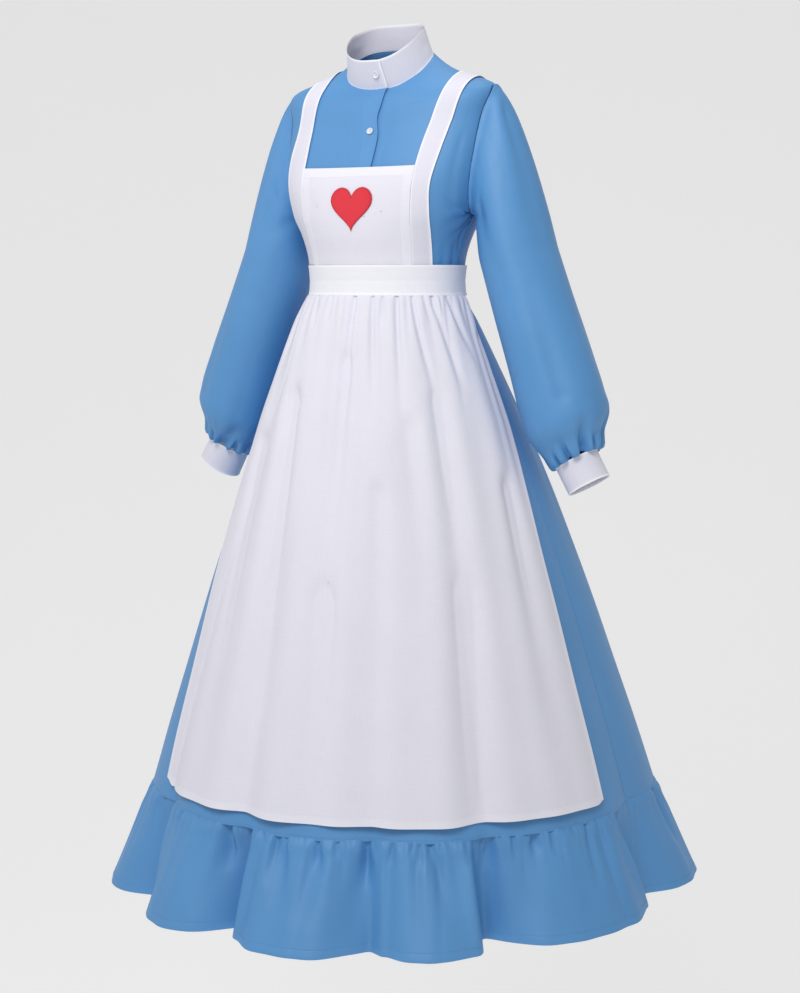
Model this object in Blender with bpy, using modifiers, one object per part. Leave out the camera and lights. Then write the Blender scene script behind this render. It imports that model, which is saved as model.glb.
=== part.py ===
"""A nurse uniform dress: blue dress with bishop sleeves and a hem flounce, white bib apron over it.

The garment is filled out as if worn, and open at the neck, cuffs and hem.
+Z is up, the wearer faces -Y and the wearer's left is +X.
The origin is in the middle of the neckline, where the wearer's shoulders hold the dress.
Every cloth piece is a grid of points on the worn form, given its thickness by Solidify.
"""
from bisect import bisect_right
from math import atan2, cos, pi, radians, sin

import bmesh
import bpy
import numpy as np
from mathutils import Matrix, Vector

for old in list(bpy.data.objects):
    bpy.data.objects.remove(old, do_unlink=True)

# Cloth and seams, in metres
CLOTH = 0.0015
BAND = 0.0022
FELT = 0.0010
GAP = 0.0003
LAYER = CLOTH + GAP

# Heights along the worn dress, measured down from the origin
WAIST = 0.370
WAISTBAND_TOP = 0.3465
WAISTBAND_FOOT = 0.3930
APRON_HEM = 1.185
FLOUNCE_SEAM = 1.205
HEM = 1.361
HEM_DIP = 0.007

# Bodice
FRONT_LAP = 0.017
FLAT_LAPS = 3.2
WAIST_STATION = 0.040
UNDERARM = 3.0
SHOULDER_TIP = 7.0
NECKLINE = 9.0
ARMHOLE_FRONT = radians(23)
ARMHOLE_BACK = radians(23)

# The worn torso as rings, from the waist seam up to the neckline.
# station, front z, side z, back z, half width, front y, side y, back y, squareness
TORSO = [
    (0, -0.370, -0.370, -0.370, 0.130, -0.126, -0.026, 0.074, 2.0),
    (1, -0.330, -0.330, -0.330, 0.133, -0.131, -0.024, 0.077, 2.1),
    (2, -0.295, -0.295, -0.295, 0.142, -0.138, -0.020, 0.086, 2.3),
    (3, -0.260, -0.265, -0.260, 0.152, -0.139, -0.014, 0.096, 2.5),
    (4, -0.220, -0.215, -0.215, 0.163, -0.133, -0.007, 0.104, 2.7),
    (5, -0.180, -0.160, -0.165, 0.173, -0.116, -0.001, 0.106, 2.8),
    (6, -0.135, -0.103, -0.112, 0.180, -0.096, 0.002, 0.099, 2.6),
    (7, -0.098, -0.056, -0.068, 0.184, -0.082, 0.002, 0.086, 2.4),
    (8, -0.078, -0.033, -0.032, 0.126, -0.077, 0.000, 0.068, 2.4),
    (9, -0.062, -0.012, 0.008, 0.073, -0.073, 0.000, 0.042, 2.5),
]

# The stand collar's top edge, in the torso's columns
COLLAR_TOP = (-0.013, 0.036, 0.050, 0.065, -0.084, -0.014, 0.020, 2.3)

# The worn skirt as rings, from the waist seam down to the hem.
# drop, half width, half depth, centre y
SKIRT = [
    (0.370, 0.130, 0.100, -0.026),
    (0.393, 0.132, 0.103, -0.025),
    (0.437, 0.151, 0.131, -0.020),
    (0.503, 0.179, 0.164, -0.013),
    (0.600, 0.218, 0.208, -0.003),
    (0.703, 0.257, 0.250, 0.006),
    (0.803, 0.292, 0.288, 0.012),
    (0.903, 0.325, 0.324, 0.018),
    (1.003, 0.356, 0.358, 0.023),
    (1.100, 0.386, 0.391, 0.028),
    (1.205, 0.416, 0.425, 0.033),
    (1.361, 0.462, 0.480, 0.036),
]

# Hollows between the hem's lobes, as angles round from the centre front, towards the wearer's left
HEM_HOLLOWS = [-33, -7, 23, 46, 86, 122, 150, 178, 207, 236, 266, 297, 327]
SKIRT_SWELL = 0.009
FLOUNCE_SWELL = 0.034
FLOUNCE_GATHERS = 96
GATHER_DEPTH = 0.0025
HOLLOW_WIDTH = 1.4
HOLLOW_ROUNDING = 0.01

# The sleeve below the sleeve head. drop, out, y, half width, half depth, tilt in degrees
SLEEVE = [
    (0.330, 0.225, 0.006, 0.061, 0.076, 15),
    (0.405, 0.251, 0.004, 0.064, 0.076, 16),
    (0.505, 0.286, 0.003, 0.068, 0.076, 17),
    (0.570, 0.307, 0.002, 0.070, 0.075, 19),
    (0.605, 0.317, 0.002, 0.067, 0.070, 23),
    (0.632, 0.324, 0.002, 0.052, 0.053, 27),
    (0.6521, 0.3295, 0.002, 0.0362, 0.0362, 29),
]
HEAD_ROWS = 5
HEAD_SHARES = [0.0, 0.22, 0.46, 0.72, 1.0]
HEAD_STRAIGHT = 0.004
HEAD_OUT = 0.85
HEAD_FORWARD = 0.30
HEAD_DOWN = 0.30
SLEEVE_DROPS = [0.330, 0.410, 0.490, 0.550, 0.592, 0.620, 0.638, 0.6521]
PUFF_START = 0.580
PUFF_FULL = 0.625
CUFF_GATHERS = 14
CUFF_TOP = (0.330, 0.002, -0.653)
CUFF_FOOT = (0.353, 0.002, -0.694)
CUFF_RADIUS = 0.036

# The apron. Half widths are measured from the centre front at each torso station.
BIB_TOP = 4.66
BIB_LIFT = 0.0032
STRAP_LIFT = 0.0030
BAND_LIFT = 0.0042
APRON_LIFT = 0.0054
APRON_GATHERS = 30
APRON_FOLDS = 9
APRON_FOLD_DEPTH = 0.004
APRON_PUFF = 0.0055
BAND_LAP = 0.12
STRAP_SPACING = 2.2
# station, bib half width
BIB_EDGE = [
    (0, 0.086),
    (1, 0.089),
    (3, 0.096),
    (4.8, 0.101),
    (5.6, 0.108),
    (6.4, 0.117),
    (7.2, 0.123),
    (9, 0.124),
]
# station, strap's outer edge
STRAP_EDGE = [
    (0, 0.112),
    (1, 0.116),
    (3, 0.128),
    (4.8, 0.135),
    (5.6, 0.141),
    (6.4, 0.150),
    (7.2, 0.155),
    (9, 0.156),
]
# drop, right edge angle, left edge angle of the apron skirt
APRON_EDGES = [
    (0.393, -92, 104),
    (0.434, -80, 94),
    (0.498, -69, 89),
    (0.600, -58, 85),
    (0.700, -51, 81),
    (0.790, -46.5, 79),
    (0.900, -42.5, 78),
    (1.185, -38, 77),
]

# Buttons and the heart
BUTTON_RADIUS = 0.0056
BUTTON_HEIGHT = 0.0022
BUTTON_FOOT = 0.93
RIM_WIDTH = 0.25
DISH_DEPTH = 0.3
HOLE_RADIUS = 0.0008
HOLE_OFFSET = 0.0015
PLACKET_BUTTON_STATION = 6.0
BUTTON_X = 0.005
HEART_HEIGHT = 0.259
HEART_WIDTH = 0.075

COLLECTION = bpy.data.collections.new("nurse_uniform_dress")
CUTTERS = bpy.data.collections.new("cutters")
bpy.context.scene.collection.children.link(COLLECTION)
bpy.context.scene.collection.children.link(CUTTERS)


def material(name, colour, roughness):
    """A plain Principled surface in one linear colour."""
    made = bpy.data.materials.new(name)
    made.use_nodes = True
    shader = made.node_tree.nodes["Principled BSDF"]
    shader.inputs["Base Color"].default_value = (*colour, 1.0)
    shader.inputs["Roughness"].default_value = roughness
    shader.inputs["Metallic"].default_value = 0.0
    return made


BLUE = (0.150, 0.340, 0.640)
WHITE = (0.800, 0.800, 0.850)
RED = (0.760, 0.045, 0.060)


def smooth_table(rows):
    """A function that reads the rows at any key of the first column, eased smoothly between them."""
    keys = [row[0] for row in rows]
    values = [np.array(row[1:], float) for row in rows]
    steps = [(values[i + 1] - values[i]) / (keys[i + 1] - keys[i]) for i in range(len(rows) - 1)]
    slopes = [steps[0]]
    for i in range(1, len(steps)):
        before = keys[i] - keys[i - 1]
        after = keys[i + 1] - keys[i]
        slopes.append((steps[i - 1] * after + steps[i] * before) / (before + after))
    slopes.append(steps[-1])

    def read(key):
        key = min(max(key, keys[0]), keys[-1])
        i = min(bisect_right(keys, key) - 1, len(keys) - 2)
        span = keys[i + 1] - keys[i]
        t = (key - keys[i]) / span
        start = values[i] * (1 + 2 * t) + slopes[i] * span * t
        end = values[i + 1] * (3 - 2 * t) - slopes[i + 1] * span * (1 - t)
        return start * (1 - t) ** 2 + end * t ** 2

    return read


torso_row = smooth_table(TORSO)
skirt_row = smooth_table(SKIRT)
sleeve_row = smooth_table(SLEEVE)
bib_edge = smooth_table(BIB_EDGE)
strap_edge = smooth_table(STRAP_EDGE)
apron_edges = smooth_table(APRON_EDGES)


def ring_point(row, angle):
    """A point of one body ring. Angle 0 is the centre front and pi / 2 the wearer's left side."""
    front_z, side_z, back_z, half_width, front_y, side_y, back_y, square = row
    across = sin(angle)
    ahead = cos(angle)
    reach = (abs(across) ** square + abs(ahead) ** square) ** (-1 / square)
    across *= reach
    ahead *= reach
    y = side_y + (front_y - back_y) / 2 * ahead + ((front_y + back_y) / 2 - side_y) * ahead ** 2
    slope = (front_z - back_z) / 2
    if ahead > 0:
        z = side_z + slope * ahead + ((front_z + back_z) / 2 - side_z) * ahead ** 2
    else:
        z = side_z + slope * ahead * (1 + ahead) ** 4 + (back_z - side_z) * ahead ** 2 * (3 + 2 * ahead)
    return np.array((half_width * across, y, z))


def torso(angle, station):
    return ring_point(torso_row(station), angle)


def angle_for(x, row):
    """The front angle at which a body ring reaches x."""
    half_width = row[3]
    square = row[7]
    across = min(abs(x) / half_width, 1.0)
    ahead = (1 - across ** square) ** (1 / square)
    return atan2(across, ahead) * (1 if x >= 0 else -1)


def unit(vector):
    return vector / np.linalg.norm(vector)


def normal_at(surface, u, v):
    """The outward normal of a surface whose u runs round to the left and v runs up."""
    step = 0.002
    along_u = surface(u + step, v) - surface(u - step, v)
    along_v = surface(u, v + step) - surface(u, v - step)
    return unit(np.cross(along_u, along_v))


def lifted(surface, u, v, lift):
    return surface(u, v) + normal_at(surface, u, v) * lift


def lobe(angle):
    """Hem lobes: 1 on a lobe's crest and -1 in the hollow between two lobes."""
    degrees = (angle * 180 / pi - HEM_HOLLOWS[0]) % 360 + HEM_HOLLOWS[0]
    i = min(bisect_right(HEM_HOLLOWS, degrees) - 1, len(HEM_HOLLOWS) - 2)
    share = (degrees - HEM_HOLLOWS[i]) / (HEM_HOLLOWS[i + 1] - HEM_HOLLOWS[i])
    crest = (sin(pi * share) ** 2 + HOLLOW_ROUNDING) ** 0.5
    return 1 - 2 * (1 - min(crest, 1.0)) ** HOLLOW_WIDTH


def skirt(angle, drop, lift=0.0):
    """The skirt, and below its seam the flounce. Lift moves a point outwards."""
    half_width, half_depth, centre_y = skirt_row(drop)
    down = (drop - WAIST) / (FLOUNCE_SEAM - WAIST)
    swell = SKIRT_SWELL * down ** 2
    dip = 0.0
    if drop > FLOUNCE_SEAM:
        share = (drop - FLOUNCE_SEAM) / (HEM - FLOUNCE_SEAM)
        swell = SKIRT_SWELL + (FLOUNCE_SWELL - SKIRT_SWELL) * share
        dip = HEM_DIP * share * cos(angle)
    out = lift + swell * lobe(angle)
    x = (half_width + out) * sin(angle)
    y = centre_y - (half_depth + out) * cos(angle)
    return np.array((x, y, -drop - dip))


def spread(first, last, count):
    return [first + (last - first) * i / count for i in range(count + 1)]


def halving(low, high, is_low):
    """The value between low and high where is_low changes from true to false."""
    for _ in range(40):
        middle = (low + high) / 2
        if is_low(middle):
            low = middle
        else:
            high = middle
    return low


def lap_layer(share, columns, lap_columns):
    """How far a band lies in at its first end and out at its last end, where the two lap."""
    near = min(share, 1 - share) * columns / lap_columns
    side = 1 if share > 0.5 else -1
    return (BAND + GAP) / 2 * max(1 - near, 0.0) ** 0.5 * side


def finish(name, mesh_data, colour, roughness, thickness):
    """Make a named object in the garment's collection, with its own material and wall."""
    mesh = bpy.data.meshes.new(name)
    mesh_data.to_mesh(mesh)
    mesh_data.free()
    mesh.shade_smooth()
    made = bpy.data.objects.new(name, mesh)
    made.data.materials.append(material(name, colour, roughness))
    COLLECTION.objects.link(made)
    if thickness:
        wall = made.modifiers.new("wall", "SOLIDIFY")
        wall.thickness = thickness
        wall.offset = 0.0
    return made


def cloth(name, columns, rows, place, colour, thickness=CLOTH, closed=False):
    """A cloth piece: place(column, row) gives each point of a grid, closed joins its two sides."""
    grid = bmesh.new()
    around = columns if closed else columns + 1
    points = [[grid.verts.new(place(i, j)) for i in range(around)] for j in range(rows + 1)]
    for j in range(rows):
        for i in range(columns):
            right = (i + 1) % around
            grid.faces.new((points[j][i], points[j][right], points[j + 1][right], points[j + 1][i]))
    return finish(name, grid, colour, 0.85, thickness)


def armhole_point(turn):
    """The wearer's left armhole. Turn 0 is the shoulder tip, pi / 2 the front, pi the underarm."""
    station = UNDERARM + (SHOULDER_TIP - UNDERARM) * (1 + cos(turn)) / 2
    notch = ARMHOLE_FRONT if sin(turn) > 0 else ARMHOLE_BACK
    return pi / 2 - notch * sin(turn), station


def side_limit(station, front):
    """How far round a bodice panel reaches, short of the side seam, armhole or shoulder seam."""
    middle = (UNDERARM + SHOULDER_TIP) / 2
    half = (SHOULDER_TIP - UNDERARM) / 2
    share = 1 - ((station - middle) / half) ** 2
    notch = (ARMHOLE_FRONT if front else ARMHOLE_BACK) * max(share, 0.0) ** 0.5
    seam = GAP / torso_row(station)[3]
    return pi / 2 - max(notch, seam) if front else pi / 2 + max(notch, seam)


# Rows of the bodice: evenly to the underarm, round the armhole, then over the shoulder
ARMHOLE_ROWS = 10
BODICE_STATIONS = spread(0, UNDERARM, 4)[:-1]
BODICE_STATIONS += [UNDERARM + (SHOULDER_TIP - UNDERARM) * (1 - cos(pi * i / ARMHOLE_ROWS)) / 2
                    for i in range(ARMHOLE_ROWS + 1)]
BODICE_STATIONS += spread(SHOULDER_TIP, NECKLINE, 4)[1:]


def front_layer(distance, upper):
    """How far a front's cloth lies out or in near the lap, by its distance from the lap's end."""
    side = 1 if upper else -1
    ease = min(max((distance - FLAT_LAPS * FRONT_LAP) / FRONT_LAP, 0.0), 1.0)
    return side * LAYER / 2 * (1 - ease * ease * (3 - 2 * ease))


def bodice_front(name, left):
    """One front. The wearer's right front laps over the left one."""
    columns = 10
    lap_columns = 3
    way = 1 if left else -1

    def place(i, j):
        station = BODICE_STATIONS[j]
        row = torso_row(station)
        lap = angle_for(FRONT_LAP, row)
        # Both fronts have points at the two lap ends and the centre, so their layers stay parallel
        if i < lap_columns:
            angle = way * lap * (i - 1)
        else:
            angle = way * (lap + (side_limit(station, True) - lap) * (i - 2) / (columns - 2))
        point = torso(angle, station)
        distance = abs(point[0] + way * FRONT_LAP)
        return lifted(torso, angle, station, front_layer(distance, not left))

    return cloth(name, columns, len(BODICE_STATIONS) - 1, place, BLUE)


def bodice_back():
    columns = 18

    def place(i, j):
        station = BODICE_STATIONS[j]
        start = side_limit(station, False)
        return torso(start + (2 * pi - 2 * start) * i / columns, station)

    return cloth("bodice_back", columns, len(BODICE_STATIONS) - 1, place, BLUE)


def seam_start(edge, onward, outward, half):
    """Where a piece of half thickness starts when it leaves a panel's edge in the outward direction."""
    slant = np.linalg.norm(np.cross(onward, outward))
    return edge + onward * (GAP + half * slant)


def sleeve_ring(turn, drop, gather=0.0):
    """The wearer's left sleeve below its head. Turn 0 is the outer side and pi / 2 the front."""
    out, y, half_width, half_depth, tilt = sleeve_row(drop)
    lean = radians(tilt)
    across = (half_width + gather) * cos(turn)
    return np.array((out + across * cos(lean), y - (half_depth + gather) * sin(turn), -drop + across * sin(lean)))


def sleeve_seam(turn):
    """The sleeve's seam point at the armhole, and the direction in which the sleeve leaves."""
    angle, station = armhole_point(turn)
    edge = torso(angle, station)
    centre = torso(pi / 2, (UNDERARM + SHOULDER_TIP) / 2)
    normal = normal_at(torso, angle, station)
    along = torso(*armhole_point(turn + 0.01)) - torso(*armhole_point(turn - 0.01))
    onward = unit(np.cross(normal, along))
    if np.dot(onward, centre - edge) < 0:
        onward = -onward
    top = (1 + cos(turn)) / 2
    outward = unit(np.array((HEAD_OUT, -HEAD_FORWARD * sin(turn), -HEAD_DOWN * top)))
    return edge + onward * (GAP + CLOTH), outward


def sleeve_head(turn, share):
    """From clear of the armhole to the first full ring, leaving the bodice outwards."""
    start, outward = sleeve_seam(turn)
    start = start + outward * HEAD_STRAIGHT
    end = sleeve_ring(turn, SLEEVE_DROPS[0])
    length = np.linalg.norm(end - start)
    leave = outward * length * (0.50 - 0.15 * (1 + cos(turn)) / 2)
    lean = radians(SLEEVE[0][5] + 1)
    arrive = np.array((sin(lean), 0, -cos(lean))) * length
    a = (1 + 2 * share) * (1 - share) ** 2
    b = share * (1 - share) ** 2
    c = share ** 2 * (3 - 2 * share)
    d = share ** 2 * (share - 1)
    return start * a + leave * b + end * c + arrive * d


def sleeve(name, left):
    columns = 2 * CUFF_GATHERS
    rows = HEAD_ROWS + len(SLEEVE_DROPS) - 1

    def place(i, j):
        turn = 2 * pi * i / columns
        if j == 0:
            point = sleeve_seam(turn)[0]
        elif j <= HEAD_ROWS:
            point = sleeve_head(turn, HEAD_SHARES[j - 1])
        else:
            drop = SLEEVE_DROPS[j - HEAD_ROWS]
            full = min(max((drop - PUFF_START) / (PUFF_FULL - PUFF_START), 0.0), 1.0)
            depth = full * GATHER_DEPTH
            point = sleeve_ring(turn, drop, depth * (1 if i % 2 else -1))
        return point if left else point * np.array((-1, 1, 1))

    return cloth(name, columns, rows, place, BLUE, closed=True)


def cuff(name, left):
    columns = 20
    top = np.array(CUFF_TOP)
    axis = np.array(CUFF_FOOT) - top
    across = unit(np.cross(axis, np.array((0, 1, 0))))

    def place(i, j):
        turn = 2 * pi * i / columns
        ring = across * cos(turn) + np.array((0, -1, 0)) * sin(turn)
        point = top + axis * j + ring * CUFF_RADIUS
        return point if left else point * np.array((-1, 1, 1))

    return cloth(name, columns, 1, place, WHITE, BAND, closed=True)


def collar_point(turn, share, layer=0.0):
    """The stand collar from its seam up. Turn runs all the way round from the centre front."""
    foot = torso(turn, NECKLINE)
    top = ring_point(COLLAR_TOP, turn)
    normal = normal_at(torso, turn, NECKLINE)
    upward = unit(top - foot)
    onward = unit(upward - normal * np.dot(upward, normal))
    foot = seam_start(foot, onward, upward, BAND / 2 + GAP)
    outward = unit(np.array((sin(turn), -cos(turn), 0.3)))
    return foot + (top - foot) * share + outward * layer


def collar():
    """A band whose wearer's right end laps over the left one."""
    columns = 36
    lap = angle_for(FRONT_LAP, torso_row(NECKLINE))

    def place(i, j):
        share = i / columns
        turn = -lap + (2 * pi + 2 * lap) * share
        return collar_point(turn, j / 2, lap_layer(share, columns, 7))

    return cloth("collar", columns, 2, place, WHITE, BAND)


def waist_point(angle, drop, lift):
    """The dress at its waist, above or below the waist seam, moved outwards."""
    if drop > WAIST:
        return skirt(angle, drop, lift)
    station = (WAIST - drop) / WAIST_STATION
    return torso(angle, station) + np.array((sin(angle), -cos(angle), 0)) * lift


def apron_waistband():
    """The apron's waistband: a ring with a plain lap at the centre back."""
    columns = 40
    rows = spread(WAISTBAND_FOOT, WAISTBAND_TOP, 2)

    def place(i, j):
        share = i / columns
        turn = pi - BAND_LAP + (2 * pi + 2 * BAND_LAP) * share
        return waist_point(turn, rows[j], BAND_LIFT + lap_layer(share, columns, 6))

    return cloth("apron_waistband", columns, 2, place, WHITE, BAND)


BAND_STATION = (WAIST - WAISTBAND_TOP + 3 * GAP) / WAIST_STATION


def apron_bib():
    columns = 10
    stations = spread(BAND_STATION, BIB_TOP, 8)

    def place(i, j):
        station = stations[j]
        half = bib_edge(station)[0] - GAP / 2
        x = half * (2 * i / columns - 1)
        return lifted(torso, angle_for(x, torso_row(station)), station, BIB_LIFT)

    return cloth("apron_bib", columns, 8, place, WHITE)


def strap_point(edge, share):
    """One edge of the wearer's left strap, from the front waistband over the shoulder to the back."""
    top = halving(SHOULDER_TIP, NECKLINE, lambda station: torso_row(station)[3] > edge(station))
    back = share > 0.5
    part = 2 * (1 - share) if back else 2 * share
    station = top - (top - BAND_STATION) * (1 - part) ** STRAP_SPACING
    angle = angle_for(edge(station), torso_row(station))
    if back:
        angle = pi - angle
    return lifted(torso, angle, station, STRAP_LIFT)


def strap(name, left):
    columns = 2
    rows = 46

    def place(i, j):
        def edge(station):
            inner = bib_edge(station)[0] + GAP / 2
            return inner + (strap_edge(station)[0] - inner) * i / columns

        point = strap_point(edge, j / rows)
        return point if left else point * np.array((-1, 1, 1))

    return cloth(name, columns, rows, place, WHITE)


def skirt_panel(name, front):
    columns = 24
    drops = [WAIST + 2 * GAP, WAISTBAND_FOOT, 0.437, 0.520, 0.640, 0.780, 0.930, 1.080, FLOUNCE_SEAM]
    start = -pi / 2 if front else pi / 2

    def place(i, j):
        seam = GAP / 2 / skirt_row(drops[j])[0]
        return skirt(start + seam + (pi - 2 * seam) * i / columns, drops[j])

    return cloth(name, columns, len(drops) - 1, place, BLUE)


def flounce_panel(name, front):
    """Half the hem flounce: fine gathers at the seam that open into the hem's deep lobes."""
    columns = FLOUNCE_GATHERS
    drops = [FLOUNCE_SEAM + 3 * GAP, 1.225, 1.262, 1.315, HEM]
    depths = [GATHER_DEPTH, GATHER_DEPTH * 1.1, GATHER_DEPTH * 0.5, 0.0, 0.0]
    start = -pi / 2 if front else pi / 2

    def place(i, j):
        seam = GAP * 1.5 / skirt_row(drops[j])[0]
        gather = depths[j] * (1 if i % 2 else -1)
        return skirt(start + seam + (pi - 2 * seam) * i / columns, drops[j], gather)

    return cloth(name, columns, len(drops) - 1, place, BLUE)


def apron_point(share, drop, gather=0.0):
    """The apron skirt at a share of its width, from the wearer's right edge to the left edge."""
    top_right, top_left = APRON_EDGES[0][1:]
    hem_right, hem_left = APRON_EDGES[-1][1:]
    right, left = apron_edges(drop)
    pull_right = (right - top_right) / (hem_right - top_right)
    pull_left = (left - top_left) / (hem_left - top_left)
    pull = pull_right + (pull_left - pull_right) * max((share - 0.7) / 0.3, 0.0) ** 2
    start = top_right + (top_left - top_right) * share
    end = hem_right + (hem_left - hem_right) * share
    angle = radians(start + (end - start) * pull)
    down = (drop - WAISTBAND_FOOT) / (APRON_HEM - WAISTBAND_FOOT)
    fold = APRON_FOLD_DEPTH * min(down * 3, 1.0) * cos(2 * pi * APRON_FOLDS * share)
    lift = APRON_LIFT + APRON_PUFF * min(down * 4, 1.0)
    return skirt(angle, drop, lift + fold + gather)


def apron_skirt():
    columns = 2 * APRON_GATHERS
    drops = [WAISTBAND_FOOT + 3 * GAP, 0.425, 0.480, 0.560, 0.680, 0.840, 1.010, APRON_HEM]
    depths = [GATHER_DEPTH, GATHER_DEPTH, 0.0018, 0.0008, 0, 0, 0, 0]

    def place(i, j):
        gather = depths[j] * (1 if i % 2 else -1)
        return apron_point(i / columns, drops[j], gather)

    return cloth("apron_skirt", columns, len(drops) - 1, place, WHITE)


def front_at(x, z, lift):
    """The bib's point at a given x and z, moved outwards from the bodice."""
    def below(station):
        row = torso_row(station)
        return ring_point(row, angle_for(x, row))[2] < z

    station = halving(0.0, BIB_TOP, below)
    return lifted(torso, angle_for(x, torso_row(station)), station, lift)


def bib_heart():
    """A heart of felt on the bib, its outline drawn by the usual sine and cosine rule."""
    columns = 32
    lift = BIB_LIFT + CLOTH / 2 + GAP + FELT / 2
    scale = HEART_WIDTH / 32

    def outline(turn):
        x = 16 * sin(turn) ** 3
        y = 13 * cos(turn) - 5 * cos(2 * turn) - 2 * cos(3 * turn) - cos(4 * turn)
        return x * scale, (y + 2.5) * scale

    heart = bmesh.new()
    centre = heart.verts.new(front_at(0, -HEART_HEIGHT, lift))
    rings = []
    for share in (0.5, 1.0):
        corners = [outline(2 * pi * i / columns) for i in range(columns)]
        rings.append([heart.verts.new(front_at(x * share, y * share - HEART_HEIGHT, lift)) for x, y in corners])
    for i in range(columns):
        right = (i + 1) % columns
        heart.faces.new((centre, rings[0][right], rings[0][i]))
        heart.faces.new((rings[0][i], rings[0][right], rings[1][right], rings[1][i]))
    bmesh.ops.recalc_face_normals(heart, faces=heart.faces)
    return finish("bib_heart", heart, RED, 0.8, FELT)


def button(name, point, normal):
    """A flat four-hole button with a raised rim, lying on the cloth."""
    disc = bmesh.new()
    bmesh.ops.create_cone(disc, cap_ends=True, segments=16, radius1=BUTTON_RADIUS * BUTTON_FOOT,
                          radius2=BUTTON_RADIUS, depth=BUTTON_HEIGHT)
    top = max(disc.faces, key=lambda face: face.calc_center_median().z)
    bmesh.ops.inset_region(disc, faces=[top], thickness=BUTTON_RADIUS * RIM_WIDTH,
                           depth=-BUTTON_HEIGHT * DISH_DEPTH)
    made = finish(name, disc, WHITE, 0.35, 0.0)
    turn = Vector(normal).to_track_quat("Z", "Y").to_matrix().to_4x4()
    made.matrix_world = Matrix.Translation(Vector(point)) @ turn
    for i in range(4):
        corner = pi / 4 + i * pi / 2
        hole = bmesh.new()
        bmesh.ops.create_cone(hole, cap_ends=True, segments=6, radius1=HOLE_RADIUS, radius2=HOLE_RADIUS,
                              depth=BUTTON_HEIGHT * 3)
        offset = Vector((cos(corner), sin(corner), 0)) * HOLE_OFFSET
        bmesh.ops.translate(hole, vec=offset, verts=hole.verts)
        mesh = bpy.data.meshes.new(name + "_hole")
        hole.to_mesh(mesh)
        hole.free()
        cutter = bpy.data.objects.new(f"{name}_hole_{i + 1}", mesh)
        cutter.matrix_world = made.matrix_world
        cutter.hide_render = True
        cutter.display_type = "WIRE"
        CUTTERS.objects.link(cutter)
        cut = made.modifiers.new("hole", "BOOLEAN")
        cut.operation = "DIFFERENCE"
        cut.object = cutter
    return made


def button_on(name, point, normal, cloth_face):
    return button(name, point + normal * (cloth_face + GAP + BUTTON_HEIGHT / 2), normal)


bodice_front("bodice_front_right", False)
bodice_front("bodice_front_left", True)
bodice_back()
sleeve("sleeve_right", False)
sleeve("sleeve_left", True)
cuff("cuff_right", False)
cuff("cuff_left", True)
collar()
skirt_panel("skirt_front", True)
skirt_panel("skirt_back", False)
flounce_panel("hem_flounce_front", True)
flounce_panel("hem_flounce_back", False)
apron_waistband()
apron_bib()
strap("apron_strap_right", False)
strap("apron_strap_left", True)
apron_skirt()
bib_heart()

placket_turn = angle_for(BUTTON_X, torso_row(PLACKET_BUTTON_STATION))
button_on("placket_button", torso(placket_turn, PLACKET_BUTTON_STATION),
          normal_at(torso, placket_turn, PLACKET_BUTTON_STATION), LAYER / 2 + CLOTH / 2)
collar_turn = 2 * pi + angle_for(BUTTON_X, torso_row(NECKLINE))
collar_normal = normal_at(collar_point, collar_turn, 0.5)
button_on("collar_button", collar_point(collar_turn, 0.47), collar_normal, BAND + GAP)
button_on("waistband_button", waist_point(pi, (WAISTBAND_TOP + WAISTBAND_FOOT) / 2, BAND_LIFT),
          np.array((0, 1, 0)), BAND + 2 * GAP)
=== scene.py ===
# %% [markdown]
# # A nurse uniform dress with a white bib apron
# The real dress is blue cotton poplin, filled out as if someone wore it: fitted bodice, bishop
# sleeves, a flared skirt and a gathered flounce. A white cotton apron is tied over it.
# Each cut piece becomes one thin shell. It starts as a flat bmesh grid, which is the cut cloth,
# and every point of the grid is then carried to its place on the worn form.

# %% Load the frame
from math import atan, cos, pi, radians, sin

import bmesh
import bpy
import numpy as np
from mathutils import Matrix, Vector


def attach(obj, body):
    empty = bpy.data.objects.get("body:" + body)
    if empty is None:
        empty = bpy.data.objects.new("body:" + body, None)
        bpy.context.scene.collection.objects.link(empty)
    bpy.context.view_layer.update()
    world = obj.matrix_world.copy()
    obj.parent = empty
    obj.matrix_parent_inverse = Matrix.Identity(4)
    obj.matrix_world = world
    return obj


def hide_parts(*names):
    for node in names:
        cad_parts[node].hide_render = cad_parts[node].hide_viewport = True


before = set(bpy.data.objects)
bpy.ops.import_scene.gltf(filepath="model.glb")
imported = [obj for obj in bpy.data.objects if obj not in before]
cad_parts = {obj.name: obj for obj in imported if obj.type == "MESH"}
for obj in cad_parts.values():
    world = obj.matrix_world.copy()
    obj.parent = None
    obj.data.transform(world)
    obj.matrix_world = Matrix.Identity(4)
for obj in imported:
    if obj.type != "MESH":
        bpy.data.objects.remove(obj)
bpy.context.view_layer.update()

# %% [markdown]
# ## The worn form
# A garment on a body is round, but its size and centre change all the way down. Rings in a short
# table describe that, and a smooth curve is drawn through them. The same table drives every
# piece that lies on the body, so the apron's straps fit the dress without any nudging.

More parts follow.
